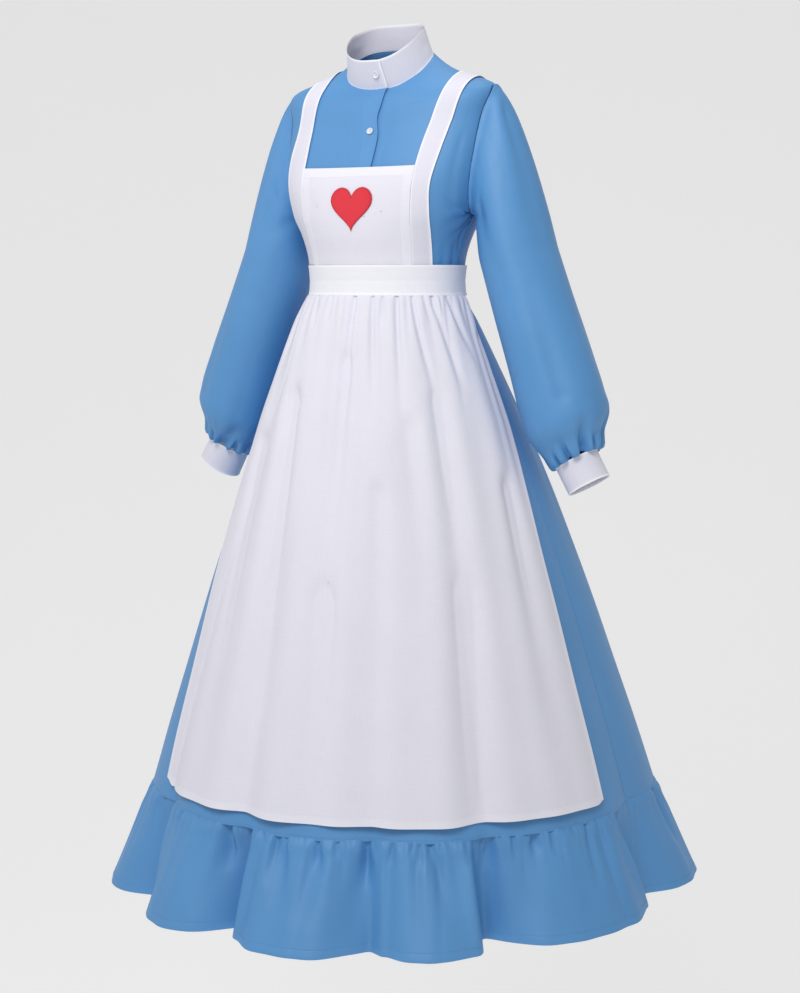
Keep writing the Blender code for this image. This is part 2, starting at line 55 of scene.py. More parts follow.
# %% Smooth tables
def smooth_table(rows):
    """A function that reads the rows at any keys of the first column, eased between them."""
    keys = np.array([row[0] for row in rows], float)
    values = np.array([row[1:] for row in rows], float)
    spans = np.diff(keys)[:, None]
    steps = np.diff(values, axis=0) / spans
    inner = (steps[:-1] * spans[1:] + steps[1:] * spans[:-1]) / (spans[1:] + spans[:-1])
    slopes = np.vstack([steps[:1], inner, steps[-1:]])

    def read(key):
        key = np.clip(np.asarray(key, float), keys[0], keys[-1])
        i = np.clip(np.searchsorted(keys, key, side="right") - 1, 0, len(keys) - 2)
        span = (keys[i + 1] - keys[i])[..., None]
        t = (key - keys[i])[..., None] / span
        start = values[i] * (1 + 2 * t) + slopes[i] * span * t
        end = values[i + 1] * (3 - 2 * t) - slopes[i + 1] * span * (1 - t)
        return np.moveaxis(start * (1 - t) ** 2 + end * t ** 2, -1, 0)

    return read


def eased(value):
    """0 to 1 with a soft start and end."""
    value = np.clip(value, 0.0, 1.0)
    return value * value * (3 - 2 * value)


def unit(vectors):
    return vectors / np.linalg.norm(vectors, axis=-1, keepdims=True)


def spots(*columns):
    """Columns of x, y and z values as an array of points."""
    return np.stack(np.broadcast_arrays(*columns), axis=-1)


def inside(place, length):
    """How far a place on a length of cloth is from the nearer end."""
    return np.minimum(place, length - place)


def sided(points, left):
    """Points of the wearer's left piece, or their mirror image for the right one."""
    return points * np.array((1 if left else -1, 1, 1))


def halved(low, high, below):
    """Where a test that holds at low stops to hold before high, found by halving."""
    for _ in range(30):
        middle = (low + high) / 2
        under = below(middle)
        low = np.where(under, middle, low)
        high = np.where(under, high, middle)
    return low


print("eased at a quarter", float(eased(0.25)))


# %% Torso rings
# station, front z, side z, back z, half width, front y, side y, back y, squareness
TORSO = [
    (0, -0.370, -0.370, -0.370, 0.130, -0.126, -0.026, 0.074, 2.0),
    (1, -0.330, -0.330, -0.330, 0.133, -0.131, -0.024, 0.077, 2.1),
    (2, -0.295, -0.295, -0.295, 0.142, -0.138, -0.020, 0.086, 2.3),
    (3, -0.260, -0.265, -0.260, 0.154, -0.139, -0.014, 0.096, 2.7),
    (4, -0.220, -0.215, -0.215, 0.166, -0.133, -0.007, 0.104, 3.0),
    (5, -0.180, -0.160, -0.165, 0.175, -0.116, -0.001, 0.106, 2.9),
    (6, -0.135, -0.103, -0.112, 0.180, -0.096, 0.002, 0.099, 2.6),
    (7, -0.094, -0.061, -0.074, 0.182, -0.083, -0.002, 0.087, 2.4),
    (8, -0.076, -0.038, -0.045, 0.121, -0.077, -0.003, 0.066, 2.35),
    (9, -0.065, -0.018, 0.0075, 0.0738, -0.064, -0.015, 0.030, 2.3),
]
COLLAR_TOP = (-0.022, 0.025, 0.0465, 0.062, -0.087, -0.029, 0.022, 2.35)
UNDERARM = 3.0
SHOULDER_TIP = 7.0
NECKLINE = 9.0
ARMHOLE_NOTCH = radians(23)
torso_row = smooth_table(TORSO)


def ring_point(row, angle):
    """Points of body rings. Angle 0 is the centre front and pi / 2 the wearer's left side."""
    front_z, side_z, back_z, half_width, front_y, side_y, back_y, square = row
    across = np.sin(angle)
    ahead = np.cos(angle)
    reach = (np.abs(across) ** square + np.abs(ahead) ** square) ** (-1 / square)
    across = across * reach
    ahead = ahead * reach
    y = side_y + (front_y - back_y) / 2 * ahead + ((front_y + back_y) / 2 - side_y) * ahead ** 2
    slope = (front_z - back_z) / 2
    front = side_z + slope * ahead + ((front_z + back_z) / 2 - side_z) * ahead ** 2
    back = side_z + slope * ahead * (1 + ahead) ** 4 + (back_z - side_z) * ahead ** 2 * (3 + 2 * ahead)
    return spots(half_width * across, y, np.where(ahead > 0, front, back))


def torso(angle, station):
    return ring_point(torso_row(station), angle)


def angle_for(x, row):
    """The front angle at which a body ring reaches x."""
    share = np.minimum(np.abs(x) / row[3], 1.0)
    ahead = (1 - share ** row[7]) ** (1 / row[7])
    return np.arctan2(share, ahead) * np.sign(x)


def normals(surface, u, v):
    """Outward normals of a surface whose u runs round to the left and v runs up."""
    step = 0.002
    along = surface(u + step, v) - surface(u - step, v)
    rising = surface(u, v + step) - surface(u, v - step)
    return unit(np.cross(along, rising))


def lifted(surface, u, v, lift):
    return surface(u, v) + normals(surface, u, v) * np.asarray(lift)[..., None]

print("torso rings", len(TORSO))


# %% Skirt rings
WAIST = 0.370
WAIST_STATION = 0.040
FLOUNCE_SEAM = 1.205
HEM = 1.361
HEM_DIP = 0.007
SKIRT_SWELL = 0.009
FLOUNCE_SWELL = 0.034
# drop, half width, half depth, centre y
SKIRT = [
    (0.370, 0.130, 0.100, -0.026),
    (0.393, 0.132, 0.103, -0.025),
    (0.437, 0.151, 0.131, -0.020),
    (0.503, 0.179, 0.164, -0.013),
    (0.600, 0.218, 0.208, -0.003),
    (0.703, 0.257, 0.250, 0.006),
    (0.803, 0.292, 0.288, 0.012),
    (0.903, 0.325, 0.324, 0.018),
    (1.003, 0.356, 0.358, 0.023),
    (1.100, 0.386, 0.391, 0.028),
    (1.205, 0.416, 0.425, 0.033),
    (1.361, 0.462, 0.480, 0.036),
]
HEM_HOLLOWS = np.array([-35, -7, 23, 47, 91, 122, 150, 178, 207, 236, 266, 297, 327], float)
skirt_row = smooth_table(SKIRT)


def lobe(angle):
    """Hem lobes: 1 on a lobe's crest and -1 in the hollow between two lobes."""
    degrees = (angle * 180 / pi - HEM_HOLLOWS[0]) % 360 + HEM_HOLLOWS[0]
    i = np.clip(np.searchsorted(HEM_HOLLOWS, degrees, side="right") - 1, 0, len(HEM_HOLLOWS) - 2)
    share = (degrees - HEM_HOLLOWS[i]) / (HEM_HOLLOWS[i + 1] - HEM_HOLLOWS[i])
    crest = (np.sin(pi * share) ** 2 + 0.01) ** 0.5
    return 1 - 2 * (1 - np.minimum(crest, 1.0)) ** 1.4


def skirt(angle, drop, lift=0.0):
    """The skirt, and below its seam the flounce. Lift moves a point outwards."""
    half_width, half_depth, centre_y = skirt_row(drop)
    down = (drop - WAIST) / (FLOUNCE_SEAM - WAIST)
    share = np.clip((drop - FLOUNCE_SEAM) / (HEM - FLOUNCE_SEAM), 0.0, 1.1)
    swell = SKIRT_SWELL * np.minimum(down, 1.0) ** 2 + (FLOUNCE_SWELL - SKIRT_SWELL) * share
    out = lift + swell * lobe(angle)
    x = (half_width + out) * np.sin(angle)
    y = centre_y - (half_depth + out) * np.cos(angle)
    return spots(x, y, -drop - HEM_DIP * share * np.cos(angle))


def waist_point(angle, drop, lift):
    """The dress at its waist, above or below the waist seam, moved outwards."""
    station = (WAIST - drop) / WAIST_STATION
    outward = spots(np.sin(angle), -np.cos(angle), 0.0)
    above = torso(angle, station) + outward * np.asarray(lift)[..., None]
    return np.where((drop > WAIST)[..., None], skirt(angle, drop, lift), above)


print("skirt rings", len(SKIRT), "hem lobes", len(HEM_HOLLOWS) - 1)

# %% [markdown]
# ## Cloth, folds and gathers
# Cloth shows how it was sewn. A seam pulls it into narrow valleys that widen and die out, and a
# crease runs from the place that strains it. Simulation could find such folds, but it drifts
# from the worn shape, so here they are drawn: gathers from a rule with uneven spacing, and the
# main creases one by one from tables, each with its deep end first.

# %% Folds
def wander(x, pitch, seed):
    """A slow uneven wave between -1 and 1, the same on every run."""
    first = np.sin(2 * pi * x / pitch + 1.7 * seed)
    second = np.sin(2 * pi * x / (pitch * 0.618) + 2.9 * seed + 1.0)
    third = np.sin(2 * pi * x / (pitch * 1.414) + 0.6 * seed + 2.0)
    return (first + second + third) / 3


def gathers(along, away, pitch, depth, reach, seed):
    """How far gathered cloth stands out, from its place along the seam and distance from it."""
    rise = np.zeros_like(along)
    # width of the folds, their depth and their length, each against the finest ones
    for width, height, length in ((1.0, 1.0, 1.0), (2.1, 1.5, 2.6), (4.6, 2.0, 6.0)):
        step = pitch * width
        phase = pi * along / step + 1.3 * wander(along, step * 5, seed + width)
        ridge = 2 * (np.sin(phase) ** 2 + 0.02) ** 0.45 - 1.1
        far = reach * length * (1 + 0.55 * wander(along, step * 3.1, seed + width + 7))
        uneven = 0.75 + 0.5 * wander(along, step * 2.3, seed + width + 3)
        grow = 1.0 if width == 1.0 else 1 - np.exp(-away / (reach * width * 0.5))
        rise += depth * height * uneven * ridge * np.exp(-(away / far) ** 1.5) * grow
    return rise * (1 - 0.5 * np.exp(-away / 0.004))


def creases(across, up, rows):
    """Troughs from a deep end (x, y) to a faint end (x, y), of a width and depth. In metres."""
    rise = np.zeros_like(across)
    for x0, y0, x1, y1, width, depth in rows:
        run = np.hypot(x1 - x0, y1 - y0)
        t = ((across - x0) * (x1 - x0) + (up - y0) * (y1 - y0)) / run ** 2
        t = np.clip(t, 0.0, 1.0)
        off = np.hypot(across - x0 - t * (x1 - x0), up - y0 - t * (y1 - y0))
        spread = width * (1 + 0.6 * t)
        rise -= depth * (1 - t ** 1.5) * np.exp(-(off / spread) ** 2)
    return rise


def seam_dip(distance, depth=0.0010, width=0.0022):
    """Cloth dives a little where it is sewn to the next piece."""
    return -depth * np.exp(-(distance / width) ** 2)


def hem_step(distance, width):
    """1 where the cloth is turned and doubled, 0 beyond it, with a short step between."""
    return 1 - eased((distance - width + 0.0005) / 0.001)


def stops(start, end, count, lines=()):
    """Even stops from start to end, with close pairs at the lines where a hem or seam steps."""
    even = np.linspace(start, end, count + 1)
    pairs = [line + shift for line in lines for shift in (-0.0012, -0.0005, 0.0, 0.0005, 0.0012)]
    pairs = [value for value in pairs if start < value < end]
    return np.unique(np.round(np.concatenate([even, pairs]), 5))


def edged(length, count, inset):
    """Even stops along a length, with close pairs at a seam or hem this far from either end."""
    return stops(0, length, count, (inset, length - inset))


sample = gathers(np.linspace(0, 0.1, 200), np.full(200, 0.010), 0.012, 0.003, 0.020, 1)
print("gathers 10 mm from a seam rise and fall by", round(float(np.ptp(sample)) * 1000, 1), "mm")


# %% Shells
PLACES = {}
DOUBLED_OUT = 0.0004


def mesh_from(name, made):
    """Turn a bmesh into a smooth mesh."""
    mesh = bpy.data.meshes.new(name)
    made.to_mesh(mesh)
    made.free()
    mesh.shade_smooth()
    return mesh


def added(name, data):
    """A new object in the scene."""
    made = bpy.data.objects.new(name, data)
    bpy.context.scene.collection.objects.link(made)
    return made


def cloth(name, across, up, place, finish, wall=0.0008, doubled_and_painted_light=None, flip=False, round_it=False):
    """Carry a flat grid of cloth to its place and give it a wall. Across and up are in metres."""
    PLACES[name] = place
    grid = bmesh.new()
    flat = grid.loops.layers.uv.new("cloth")
    layer = grid.verts.layers.float.new("doubled_and_painted_light")
    bmesh.ops.create_grid(grid, x_segments=len(across) - 1, y_segments=len(up) - 1, size=0.5)
    grid.verts.ensure_lookup_table()
    corners = np.array([vertex.co[:2] for vertex in grid.verts]) + 0.5
    x = np.interp(corners[:, 0], np.linspace(0, 1, len(across)), across)
    y = np.interp(corners[:, 1], np.linspace(0, 1, len(up)), up)
    twice_and_painted_light = doubled_and_painted_light(x, y) if doubled_and_painted_light else np.zeros_like(x)
    grid.verts.index_update()
    for face in grid.faces:
        for loop in face.loops:
            loop[flat].uv = (x[loop.vert.index], y[loop.vert.index])
    for vertex, point, share in zip(grid.verts, place(x, y), twice_and_painted_light):
        vertex.co = point
        vertex[layer] = share
    if round_it:
        bmesh.ops.remove_doubles(grid, verts=grid.verts, dist=0.00001)
    if flip:
        bmesh.ops.reverse_faces(grid, faces=grid.faces)
    # A known flaw: solidify goes by the faces' normals, and only a merge or a flip renews them. The
    # other sheets still have the flat grid's, so their second layer lies below the first instead
    # of inside it. Calling grid.normal_update() before this line would put it inside.
    bmesh.ops.solidify(grid, geom=grid.faces[:] + grid.edges[:] + grid.verts[:], thickness=wall)
    return finished(name, grid, finish)


def finished(name, mesh_data, *finishes):
    """Turn a bmesh into a piece that rides on the dress."""
    mesh = mesh_from(name, mesh_data)
    mesh.set_sharp_from_angle(angle=radians(55))
    for finish in finishes:
        mesh.materials.append(finish)
    piece = added(name, mesh)
    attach(piece, "root")
    print(name, len(mesh.polygons), "faces")
    return piece


# %% [markdown]
# ## Materials
# Poplin and apron cotton are plain weaves of fine thread. The blue poplin is pressed, so its lit
# parts have a soft dull shine and look paler than its shade. The white cotton is matt, with a
# faint sheen where the light grazes. Where a white hem is turned it is double, and looks whiter
# than the single cloth, through which the blue dress shows a little. A value on the mesh says
# where. The same value also paints a highlight along the pressed edges of the white bands and the
# apron, and paints shade on the heart's rim. Everything is drawn in the flat cloth's own metres,
# so it bends with the folds.

# %% Node helpers
def linear(code):
    """An sRGB hex colour as linear RGBA."""
    parts = [int(code[i:i + 2], 16) / 255 for i in (1, 3, 5)]
    return tuple(p / 12.92 if p <= 0.04045 else ((p + 0.055) / 1.055) ** 2.4 for p in parts) + (1.0,)


def add_node(tree, kind, settings, inputs):
    """Add a node. An input is given a value, or linked where it is given another node's socket."""
    node = tree.nodes.new(kind)
    for name, value in settings.items():
        setattr(node, name, value)
    for name, value in inputs.items():
        if isinstance(value, bpy.types.NodeSocket):
            tree.links.new(value, node.inputs[name])
        else:
            node.inputs[name].default_value = value
    return node


def noise(tree, vector, scale, **more):
    return add_node(tree, "ShaderNodeTexNoise", {}, {"Vector": vector, "Scale": scale, **more})


def ranged(tree, value, start, end, low, high):
    """A value between start and end, brought between low and high."""
    made = add_node(tree, "ShaderNodeMapRange", {}, {
        "Value": value, "From Min": start, "From Max": end, "To Min": low, "To Max": high})
    return made.outputs["Result"]


def blend(tree, factor, first, second):
    """A colour between two given colours."""
    made = add_node(tree, "ShaderNodeMix", {"data_type": "RGBA"}, {
        "Factor": factor, 6: linear(first), 7: linear(second)})
    return made.outputs[2]


def new_material(name):
    made = bpy.data.materials.new(name)
    made.use_nodes = True
    return made, made.node_tree, made.node_tree.nodes["Principled BSDF"]

print("the blue dye in linear light", [round(value, 3) for value in linear("#5594cd")])


# %% Woven cotton
WEAVE = 0.0016
SLUB_LENGTH = 0.030


def woven_cotton(name, single, doubled_and_painted_light, mottle, sheen, rough=(0.74, 0.90), gloss=0.25):
    """Plain-weave cotton. Threads of 0.2 mm would not show, so the weave is drawn at 1.6 mm."""
    made, tree, shader = new_material(name)
    cut = add_node(tree, "ShaderNodeUVMap", {"uv_map": "cloth"}, {})
    twice_and_painted_light = add_node(tree, "ShaderNodeAttribute", {"attribute_name": "doubled_and_painted_light"}, {})
    fibres = []
    for scale in ((1 / WEAVE, 1 / SLUB_LENGTH, 1.0), (1 / SLUB_LENGTH, 1 / WEAVE, 1.0)):
        stretch = add_node(tree, "ShaderNodeMapping", {}, {"Vector": cut.outputs["UV"], "Scale": scale})
        fibres.append(noise(tree, stretch.outputs["Vector"], 1.0, Detail=1.0).outputs["Fac"])
    threads = add_node(tree, "ShaderNodeMath", {"operation": "ADD"}, dict(enumerate(fibres)))
    soft = noise(tree, cut.outputs["UV"], 9.0, Detail=3.0, Roughness=0.5)
    crumple = noise(tree, cut.outputs["UV"], 22.0, Detail=2.0, Roughness=0.45)
    # the second colour is doubled cloth, a painted highlight on pressed edges, and painted shade on the
    # heart's rim
    base = blend(tree, twice_and_painted_light.outputs["Fac"], single, doubled_and_painted_light)
    tone = ranged(tree, soft.outputs["Fac"], 0.3, 0.7, 1 - mottle, 1 + mottle)
    grain = ranged(tree, threads.outputs["Value"], 0.7, 1.3, 0.985, 1.015)
    shade = add_node(tree, "ShaderNodeMath", {"operation": "MULTIPLY"}, {0: tone, 1: grain})
    dyed = add_node(tree, "ShaderNodeVectorMath", {"operation": "SCALE"}, {
        0: base, "Scale": shade.outputs["Value"]})
    worn = add_node(tree, "ShaderNodeBump", {}, {
        "Height": crumple.outputs["Fac"], "Strength": 0.35, "Distance": 0.0025})
    woven = add_node(tree, "ShaderNodeBump", {}, {
        "Height": threads.outputs["Value"], "Strength": 0.25, "Distance": 0.0002,
        "Normal": worn.outputs["Normal"]})
    roughness = ranged(tree, threads.outputs["Value"], 0.6, 1.4, *rough)
    tree.links.new(dyed.outputs["Vector"], shader.inputs["Base Color"])
    tree.links.new(roughness, shader.inputs["Roughness"])
    tree.links.new(woven.outputs["Normal"], shader.inputs["Normal"])
    shader.inputs["Sheen Weight"].default_value = sheen
    shader.inputs["Sheen Roughness"].default_value = 0.5
    shader.inputs["Specular IOR Level"].default_value = gloss
    return made


# pressed poplin: smoother and shinier than the white cottons, so that its lit parts look paler
blue_poplin = woven_cotton("cotton poplin, dyed mid blue", "#5594cd", "#5796cf", 0.03, 0.0,
                           rough=(0.50, 0.62), gloss=0.65)
# single cloth lets some blue through; the doubled hems are a little whiter, and the same whiter colour is a
# painted highlight along the apron's edges
apron_cotton = woven_cotton("cotton sheeting, bleached white", "#e6e5f0", "#eeedf7", 0.012, 0.05)
# two layers with interfacing between: the whitest cloth, with a whiter painted highlight on its pressed edges
band_cotton = woven_cotton("interfaced cotton, bleached white", "#e3e2ee", "#fbfbff", 0.010, 0.05)
# satin weave: more sheen, and painted shade: a darker rim under the satin stitches
heart_cotton = woven_cotton("cotton satin, dyed red", "#e23a46", "#c92f3c", 0.02, 0.15)
print("cottons", [made.name for made in (blue_poplin, apron_cotton, band_cotton, heart_cotton)])

# %% Thread and button resin
def sewing_thread(name, colour):
    """Mercerised cotton thread: a tight twist with a soft shine."""
    made, tree, shader = new_material(name)
    place = add_node(tree, "ShaderNodeTexCoord", {}, {})
    twist = noise(tree, place.outputs["Object"], 1500.0)
    tree.links.new(blend(tree, twist.outputs["Fac"], *colour), shader.inputs["Base Color"])
    shader.inputs["Roughness"].default_value = 0.55
    return made


def button_resin(name, dark, light):
    """Moulded polyester resin made to look like shell: milky, cloudy and glossy."""
    made, tree, shader = new_material(name)
    place = add_node(tree, "ShaderNodeTexCoord", {}, {})
    cloud = noise(tree, place.outputs["Object"], 260.0, Detail=3.0, Distortion=1.2).outputs["Fac"]
    tree.links.new(blend(tree, cloud, dark, light), shader.inputs["Base Color"])
    tree.links.new(ranged(tree, cloud, 0.0, 1.0, 0.14, 0.30), shader.inputs["Roughness"])
    shader.inputs["IOR"].default_value = 1.53
    shader.inputs["Coat Weight"].default_value = 0.4
    return made


white_thread = sewing_thread("cotton thread, white", ("#d9d8e2", "#f6f5fb"))
blue_thread = sewing_thread("cotton thread, blue", ("#4a84bd", "#6aa6dc"))
red_thread = sewing_thread("cotton thread, red", ("#b8232f", "#d93845"))
shell_resin = button_resin("polyester resin, moulded milky white", "#d4d3da", "#f4f3f6")
print("small parts", [made.name for made in (white_thread, blue_thread, red_thread, shell_resin)])

# %% [markdown]
# ## Camera, floor and light
# The photograph looks at the dress from its front left, from chest height. The camera comes
# first, so that every later step can be looked at from the same place. The light is one large
# softbox in front and above, with a weaker one on the left and another overhead. Large sources
# give soft shadows, as in the photograph, and the floor glows a little like a lit background.

# %% Camera
VIEW_TURN = radians(29)
VIEW_DISTANCE = 3.20
VIEW_HEIGHT = -0.37
VIEW_PITCH = atan(216.5 / 1920)
VIEW_SHIFT = 0.0087
PHOTO_HEIGHT = 993
FOCAL_PIXELS = 1920

lens = bpy.data.cameras.new("camera")
lens.lens = FOCAL_PIXELS * lens.sensor_width / PHOTO_HEIGHT
camera = added("camera", lens)
away = Vector((sin(VIEW_TURN), -cos(VIEW_TURN), 0)) * VIEW_DISTANCE
sideways = Vector((cos(VIEW_TURN), sin(VIEW_TURN), 0)) * VIEW_SHIFT
camera.location = away + sideways + Vector((0, 0, VIEW_HEIGHT))
camera.rotation_euler = (pi / 2 - VIEW_PITCH, 0, VIEW_TURN)
bpy.context.scene.camera = camera
print("lens", round(lens.lens, 1), "mm")

# %% Floor
FLOOR_Z = -2.60
BACKDROP_GLOW = 0.48


def studio_floor():
    """A pale floor that curves up behind into a wall, so no line shows between them."""
    sweep = bmesh.new()
    bmesh.ops.create_grid(sweep, x_segments=2, y_segments=60, size=9.0)
    for vertex in sweep.verts:
        along = vertex.co.y
        bend = max(along - 2.0, 0.0)
        vertex.co.z = FLOOR_Z + bend ** 2 * 0.16
    bmesh.ops.rotate(sweep, cent=(0, 0, 0), matrix=Matrix.Rotation(VIEW_TURN, 3, "Z"), verts=sweep.verts)
    mesh = mesh_from("studio_floor", sweep)
    floor = added("studio_floor", mesh)
    made, tree, shader = new_material("painted studio floor, matt pale grey")
    place = add_node(tree, "ShaderNodeTexCoord", {}, {})
    paint = noise(tree, place.outputs["Object"], 3.0)
    tone = blend(tree, paint.outputs["Fac"], "#c4c4c4", "#c6c6c6")
    tree.links.new(tone, shader.inputs["Base Color"])
    shader.inputs["Emission Color"].default_value = linear("#ffffff")
    shader.inputs["Emission Strength"].default_value = BACKDROP_GLOW
    shader.inputs["Roughness"].default_value = 0.9
    mesh.materials.append(made)


studio_floor()

# %% Light
def softbox(name, place, aim, width, watts):
    """A square area light that points from its place to its aim."""
    light = bpy.data.lights.new(name, "AREA")
    light.size = width
    light.energy = watts
    made = added(name, light)
    made.location = place
    made.rotation_euler = (Vector(aim) - Vector(place)).to_track_quat("-Z", "Y").to_euler()


softbox("key_softbox", (0.55, -2.25, 1.50), (0, 0, -0.35), 1.3, 48)
softbox("left_softbox", (-2.6, -1.4, 0.9), (0, 0, -0.5), 1.6, 9)
softbox("top_softbox", (0, 0.5, 1.9), (0, 0, -0.4), 1.6, 10)
world = bpy.data.worlds.new("studio")
world.use_nodes = True
sky = world.node_tree.nodes["Background"]
sky.inputs["Color"].default_value = (1.0, 1.0, 1.0, 1.0)
sky.inputs["Strength"].default_value = 0.42
bpy.context.scene.world = world
bpy.context.scene.view_settings.view_transform = "Standard"

# %% [markdown]
# ## The bodice
# It could be sculpted in one piece, but cut panels keep the seams where a maker sews them: two
# fronts and a back, sewn at the sides and shoulders. The wearer's right front laps over the
# left one, and the button closes them. The armhole is where a panel stops short of the side:
# the panel's far edge follows the notch, so the sleeve meets it all round.

# %% Bodice measures
FRONT_LAP = 0.017
LAYER = 0.0018
FLAT_LAPS = 3.2
BODICE_HIGH = 0.380
FRONT_WIDE = 0.262
BACK_WIDE = 0.420


def side_limit(station, notch_angle=ARMHOLE_NOTCH):
    """How far short of the side a panel stops, at the armhole."""
    middle = (UNDERARM + SHOULDER_TIP) / 2
    half = (SHOULDER_TIP - UNDERARM) / 2
    share = 1 - ((station - middle) / half) ** 2
    return notch_angle * np.sqrt(np.maximum(share, 0.0))


def bodice_station(up):
    """Stations from the waist up, crowded where the armhole starts and ends."""
    share = np.clip(up / BODICE_HIGH, 0.0, 1.0)
    low = share / 0.36 * UNDERARM
    turn = np.clip((share - 0.36) / 0.46, 0.0, 1.0)
    middle = UNDERARM + (SHOULDER_TIP - UNDERARM) * (1 - np.cos(pi * turn)) / 2
    high = SHOULDER_TIP + (share - 0.82) / 0.18 * (NECKLINE - SHOULDER_TIP)
    return np.where(share < 0.36, low, np.where(share < 0.82, middle, high))


print("armhole depth", round(float(np.degrees(side_limit(5.0)))), "degrees")

# %% Bodice creases
# deep end across and up, faint end across and up, width, depth
FRONT_CREASES = [
    (0.256, 0.150, 0.180, 0.112, 0.007, 0.0050),
    (0.258, 0.135, 0.205, 0.075, 0.006, 0.0046),
    (0.258, 0.118, 0.226, 0.050, 0.005, 0.0040),
    (0.250, 0.060, 0.243, 0.140, 0.006, 0.0030),
    (0.254, 0.146, 0.170, 0.196, 0.0022, 0.0016),
    (0.250, 0.165, 0.175, 0.160, 0.007, 0.0018),
    (0.236, 0.020, 0.228, 0.110, 0.007, 0.0018),
    (0.205, 0.004, 0.200, 0.090, 0.008, 0.0016),
    (0.215, 0.230, 0.196, 0.120, 0.010, 0.0016),
    (0.120, 0.345, 0.060, 0.300, 0.010, 0.0008),
]
BACK_CREASES = [
    (0.030, 0.150, 0.110, 0.120, 0.007, 0.0026),
    (0.022, 0.130, 0.090, 0.080, 0.006, 0.0024),
    (0.392, 0.150, 0.300, 0.118, 0.007, 0.0026),
    (0.400, 0.128, 0.330, 0.085, 0.006, 0.0022),
    (0.150, 0.004, 0.158, 0.110, 0.008, 0.0024),
    (0.272, 0.004, 0.262, 0.120, 0.008, 0.0024),
    (0.210, 0.006, 0.206, 0.080, 0.010, 0.0014),
    (0.120, 0.300, 0.200, 0.280, 0.012, 0.0014),
    (0.300, 0.305, 0.220, 0.282, 0.012, 0.0014),
]
# station, how far the top lap's edge strays past its straight line
lap_wave = smooth_table([
    (0, 0.005), (4.6, 0.008), (5.9, 0.0072), (6.5, 0.0015), (7.0, 0.0045), (7.8, 0.0072), (9, 0.0060)])
print("bodice creases", len(FRONT_CREASES), "a front,", len(BACK_CREASES), "on the back")


# %% Bodice panels
FACING = 0.030


def bodice_front(name, left):
    way = 1 if left else -1

    def doubled_and_painted_light(x, y):
        return hem_step(x, FACING)

    def place(x, y):
        station = bodice_station(y)
        row = torso_row(station)
        lap = angle_for(FRONT_LAP + (0 if left else lap_wave(station)[0]), row)
        reach = pi / 2 - side_limit(station)
        angle = way * (-lap + (reach + lap) * x / FRONT_WIDE)
        distance = np.abs(torso(angle, station)[:, 0] + way * FRONT_LAP)
        ease = 1 - eased((distance - FLAT_LAPS * FRONT_LAP) / FRONT_LAP)
        layer = (-1 if left else 1) * LAYER / 2 * ease
        edge = np.minimum(FRONT_WIDE - x, np.where(station > SHOULDER_TIP, BODICE_HIGH, 1.0))
        shoulder = np.where(station > SHOULDER_TIP, (pi / 2 - np.abs(angle)) * row[3], 1.0)
        lift = layer + seam_dip(np.minimum(edge, shoulder)) + creases(x, y, FRONT_CREASES)
        lift += DOUBLED_OUT * doubled_and_painted_light(x, y)
        if not left:
            lift += 0.0012 * np.exp(-(x / 0.003) ** 2)
        return lifted(torso, angle, station, lift)

    across = stops(0, FRONT_WIDE, 84, (FACING, FRONT_WIDE - 0.003))
    return cloth(name, across, stops(0, BODICE_HIGH, 110), place, blue_poplin, doubled_and_painted_light=doubled_and_painted_light,
                 flip=not left)


def bodice_back():
    def place(x, y):
        station = bodice_station(y)
        row = torso_row(station)
        start = pi / 2 + side_limit(station)
        angle = start + (2 * pi - 2 * start) * x / BACK_WIDE
        lift = seam_dip(inside(x, BACK_WIDE)) + creases(x, y, BACK_CREASES)
        lift += gathers(x, y, 0.011, 0.0007, 0.022, 5)
        return lifted(torso, angle, station, lift)

    return cloth("bodice_back_panel", edged(BACK_WIDE, 130, 0.003), stops(0, BODICE_HIGH, 110), place,
                 blue_poplin)


bodice_front("bodice_front_left_panel", True)
bodice_front("bodice_front_right_panel", False)
bodice_back()

# %% [markdown]
# ## Bishop sleeves
# A bishop sleeve is straight from the shoulder and full at the wrist, where gathers bring it
# into a tight cuff. The head leaves the armhole outwards and turns down over the arm. That turn
# is a curve with a start and an end direction, which a spin or a sweep could not follow.

# %% Sleeve shape
# drop, out, y, half width, half depth, tilt in degrees
SLEEVE = [
    (0.330, 0.225, 0.006, 0.061, 0.076, 15),
    (0.405, 0.251, 0.004, 0.064, 0.076, 16),
    (0.505, 0.286, 0.003, 0.068, 0.076, 17),
    (0.570, 0.307, 0.002, 0.070, 0.075, 19),
    (0.605, 0.317, 0.002, 0.067, 0.070, 23),
    (0.632, 0.324, 0.002, 0.052, 0.053, 27),
    (0.6521, 0.3295, 0.002, 0.0362, 0.0362, 29),
]
sleeve_row = smooth_table(SLEEVE)
SLEEVE_WIDE = 0.460
SLEEVE_LONG = 0.560
HEAD_LONG = 0.230
HEAD_TOP = 0.330
SLEEVE_FOOT = 0.6521
HEAD_OUT = 0.85
HEAD_FORWARD = 0.30
HEAD_DOWN = 0.30
CUFF_WAY = np.array((0.489, 0.0, -0.872))


def sleeve_ring(turn, drop):
    """The wearer's left sleeve below its head. Turn 0 is the outer side and pi / 2 the front."""
    out, y, half_width, half_depth, tilt = sleeve_row(drop)
    lean = np.radians(tilt)
    across = half_width * np.cos(turn)
    return spots(out + across * np.cos(lean), y - half_depth * np.sin(turn), -drop + across * np.sin(lean))


def armhole(turn):
    """The wearer's left armhole. Turn 0 is the shoulder tip, pi / 2 the front, pi the underarm."""
    station = UNDERARM + (SHOULDER_TIP - UNDERARM) * (1 + np.cos(turn)) / 2
    angle = pi / 2 - ARMHOLE_NOTCH * np.sin(turn)
    return angle, station


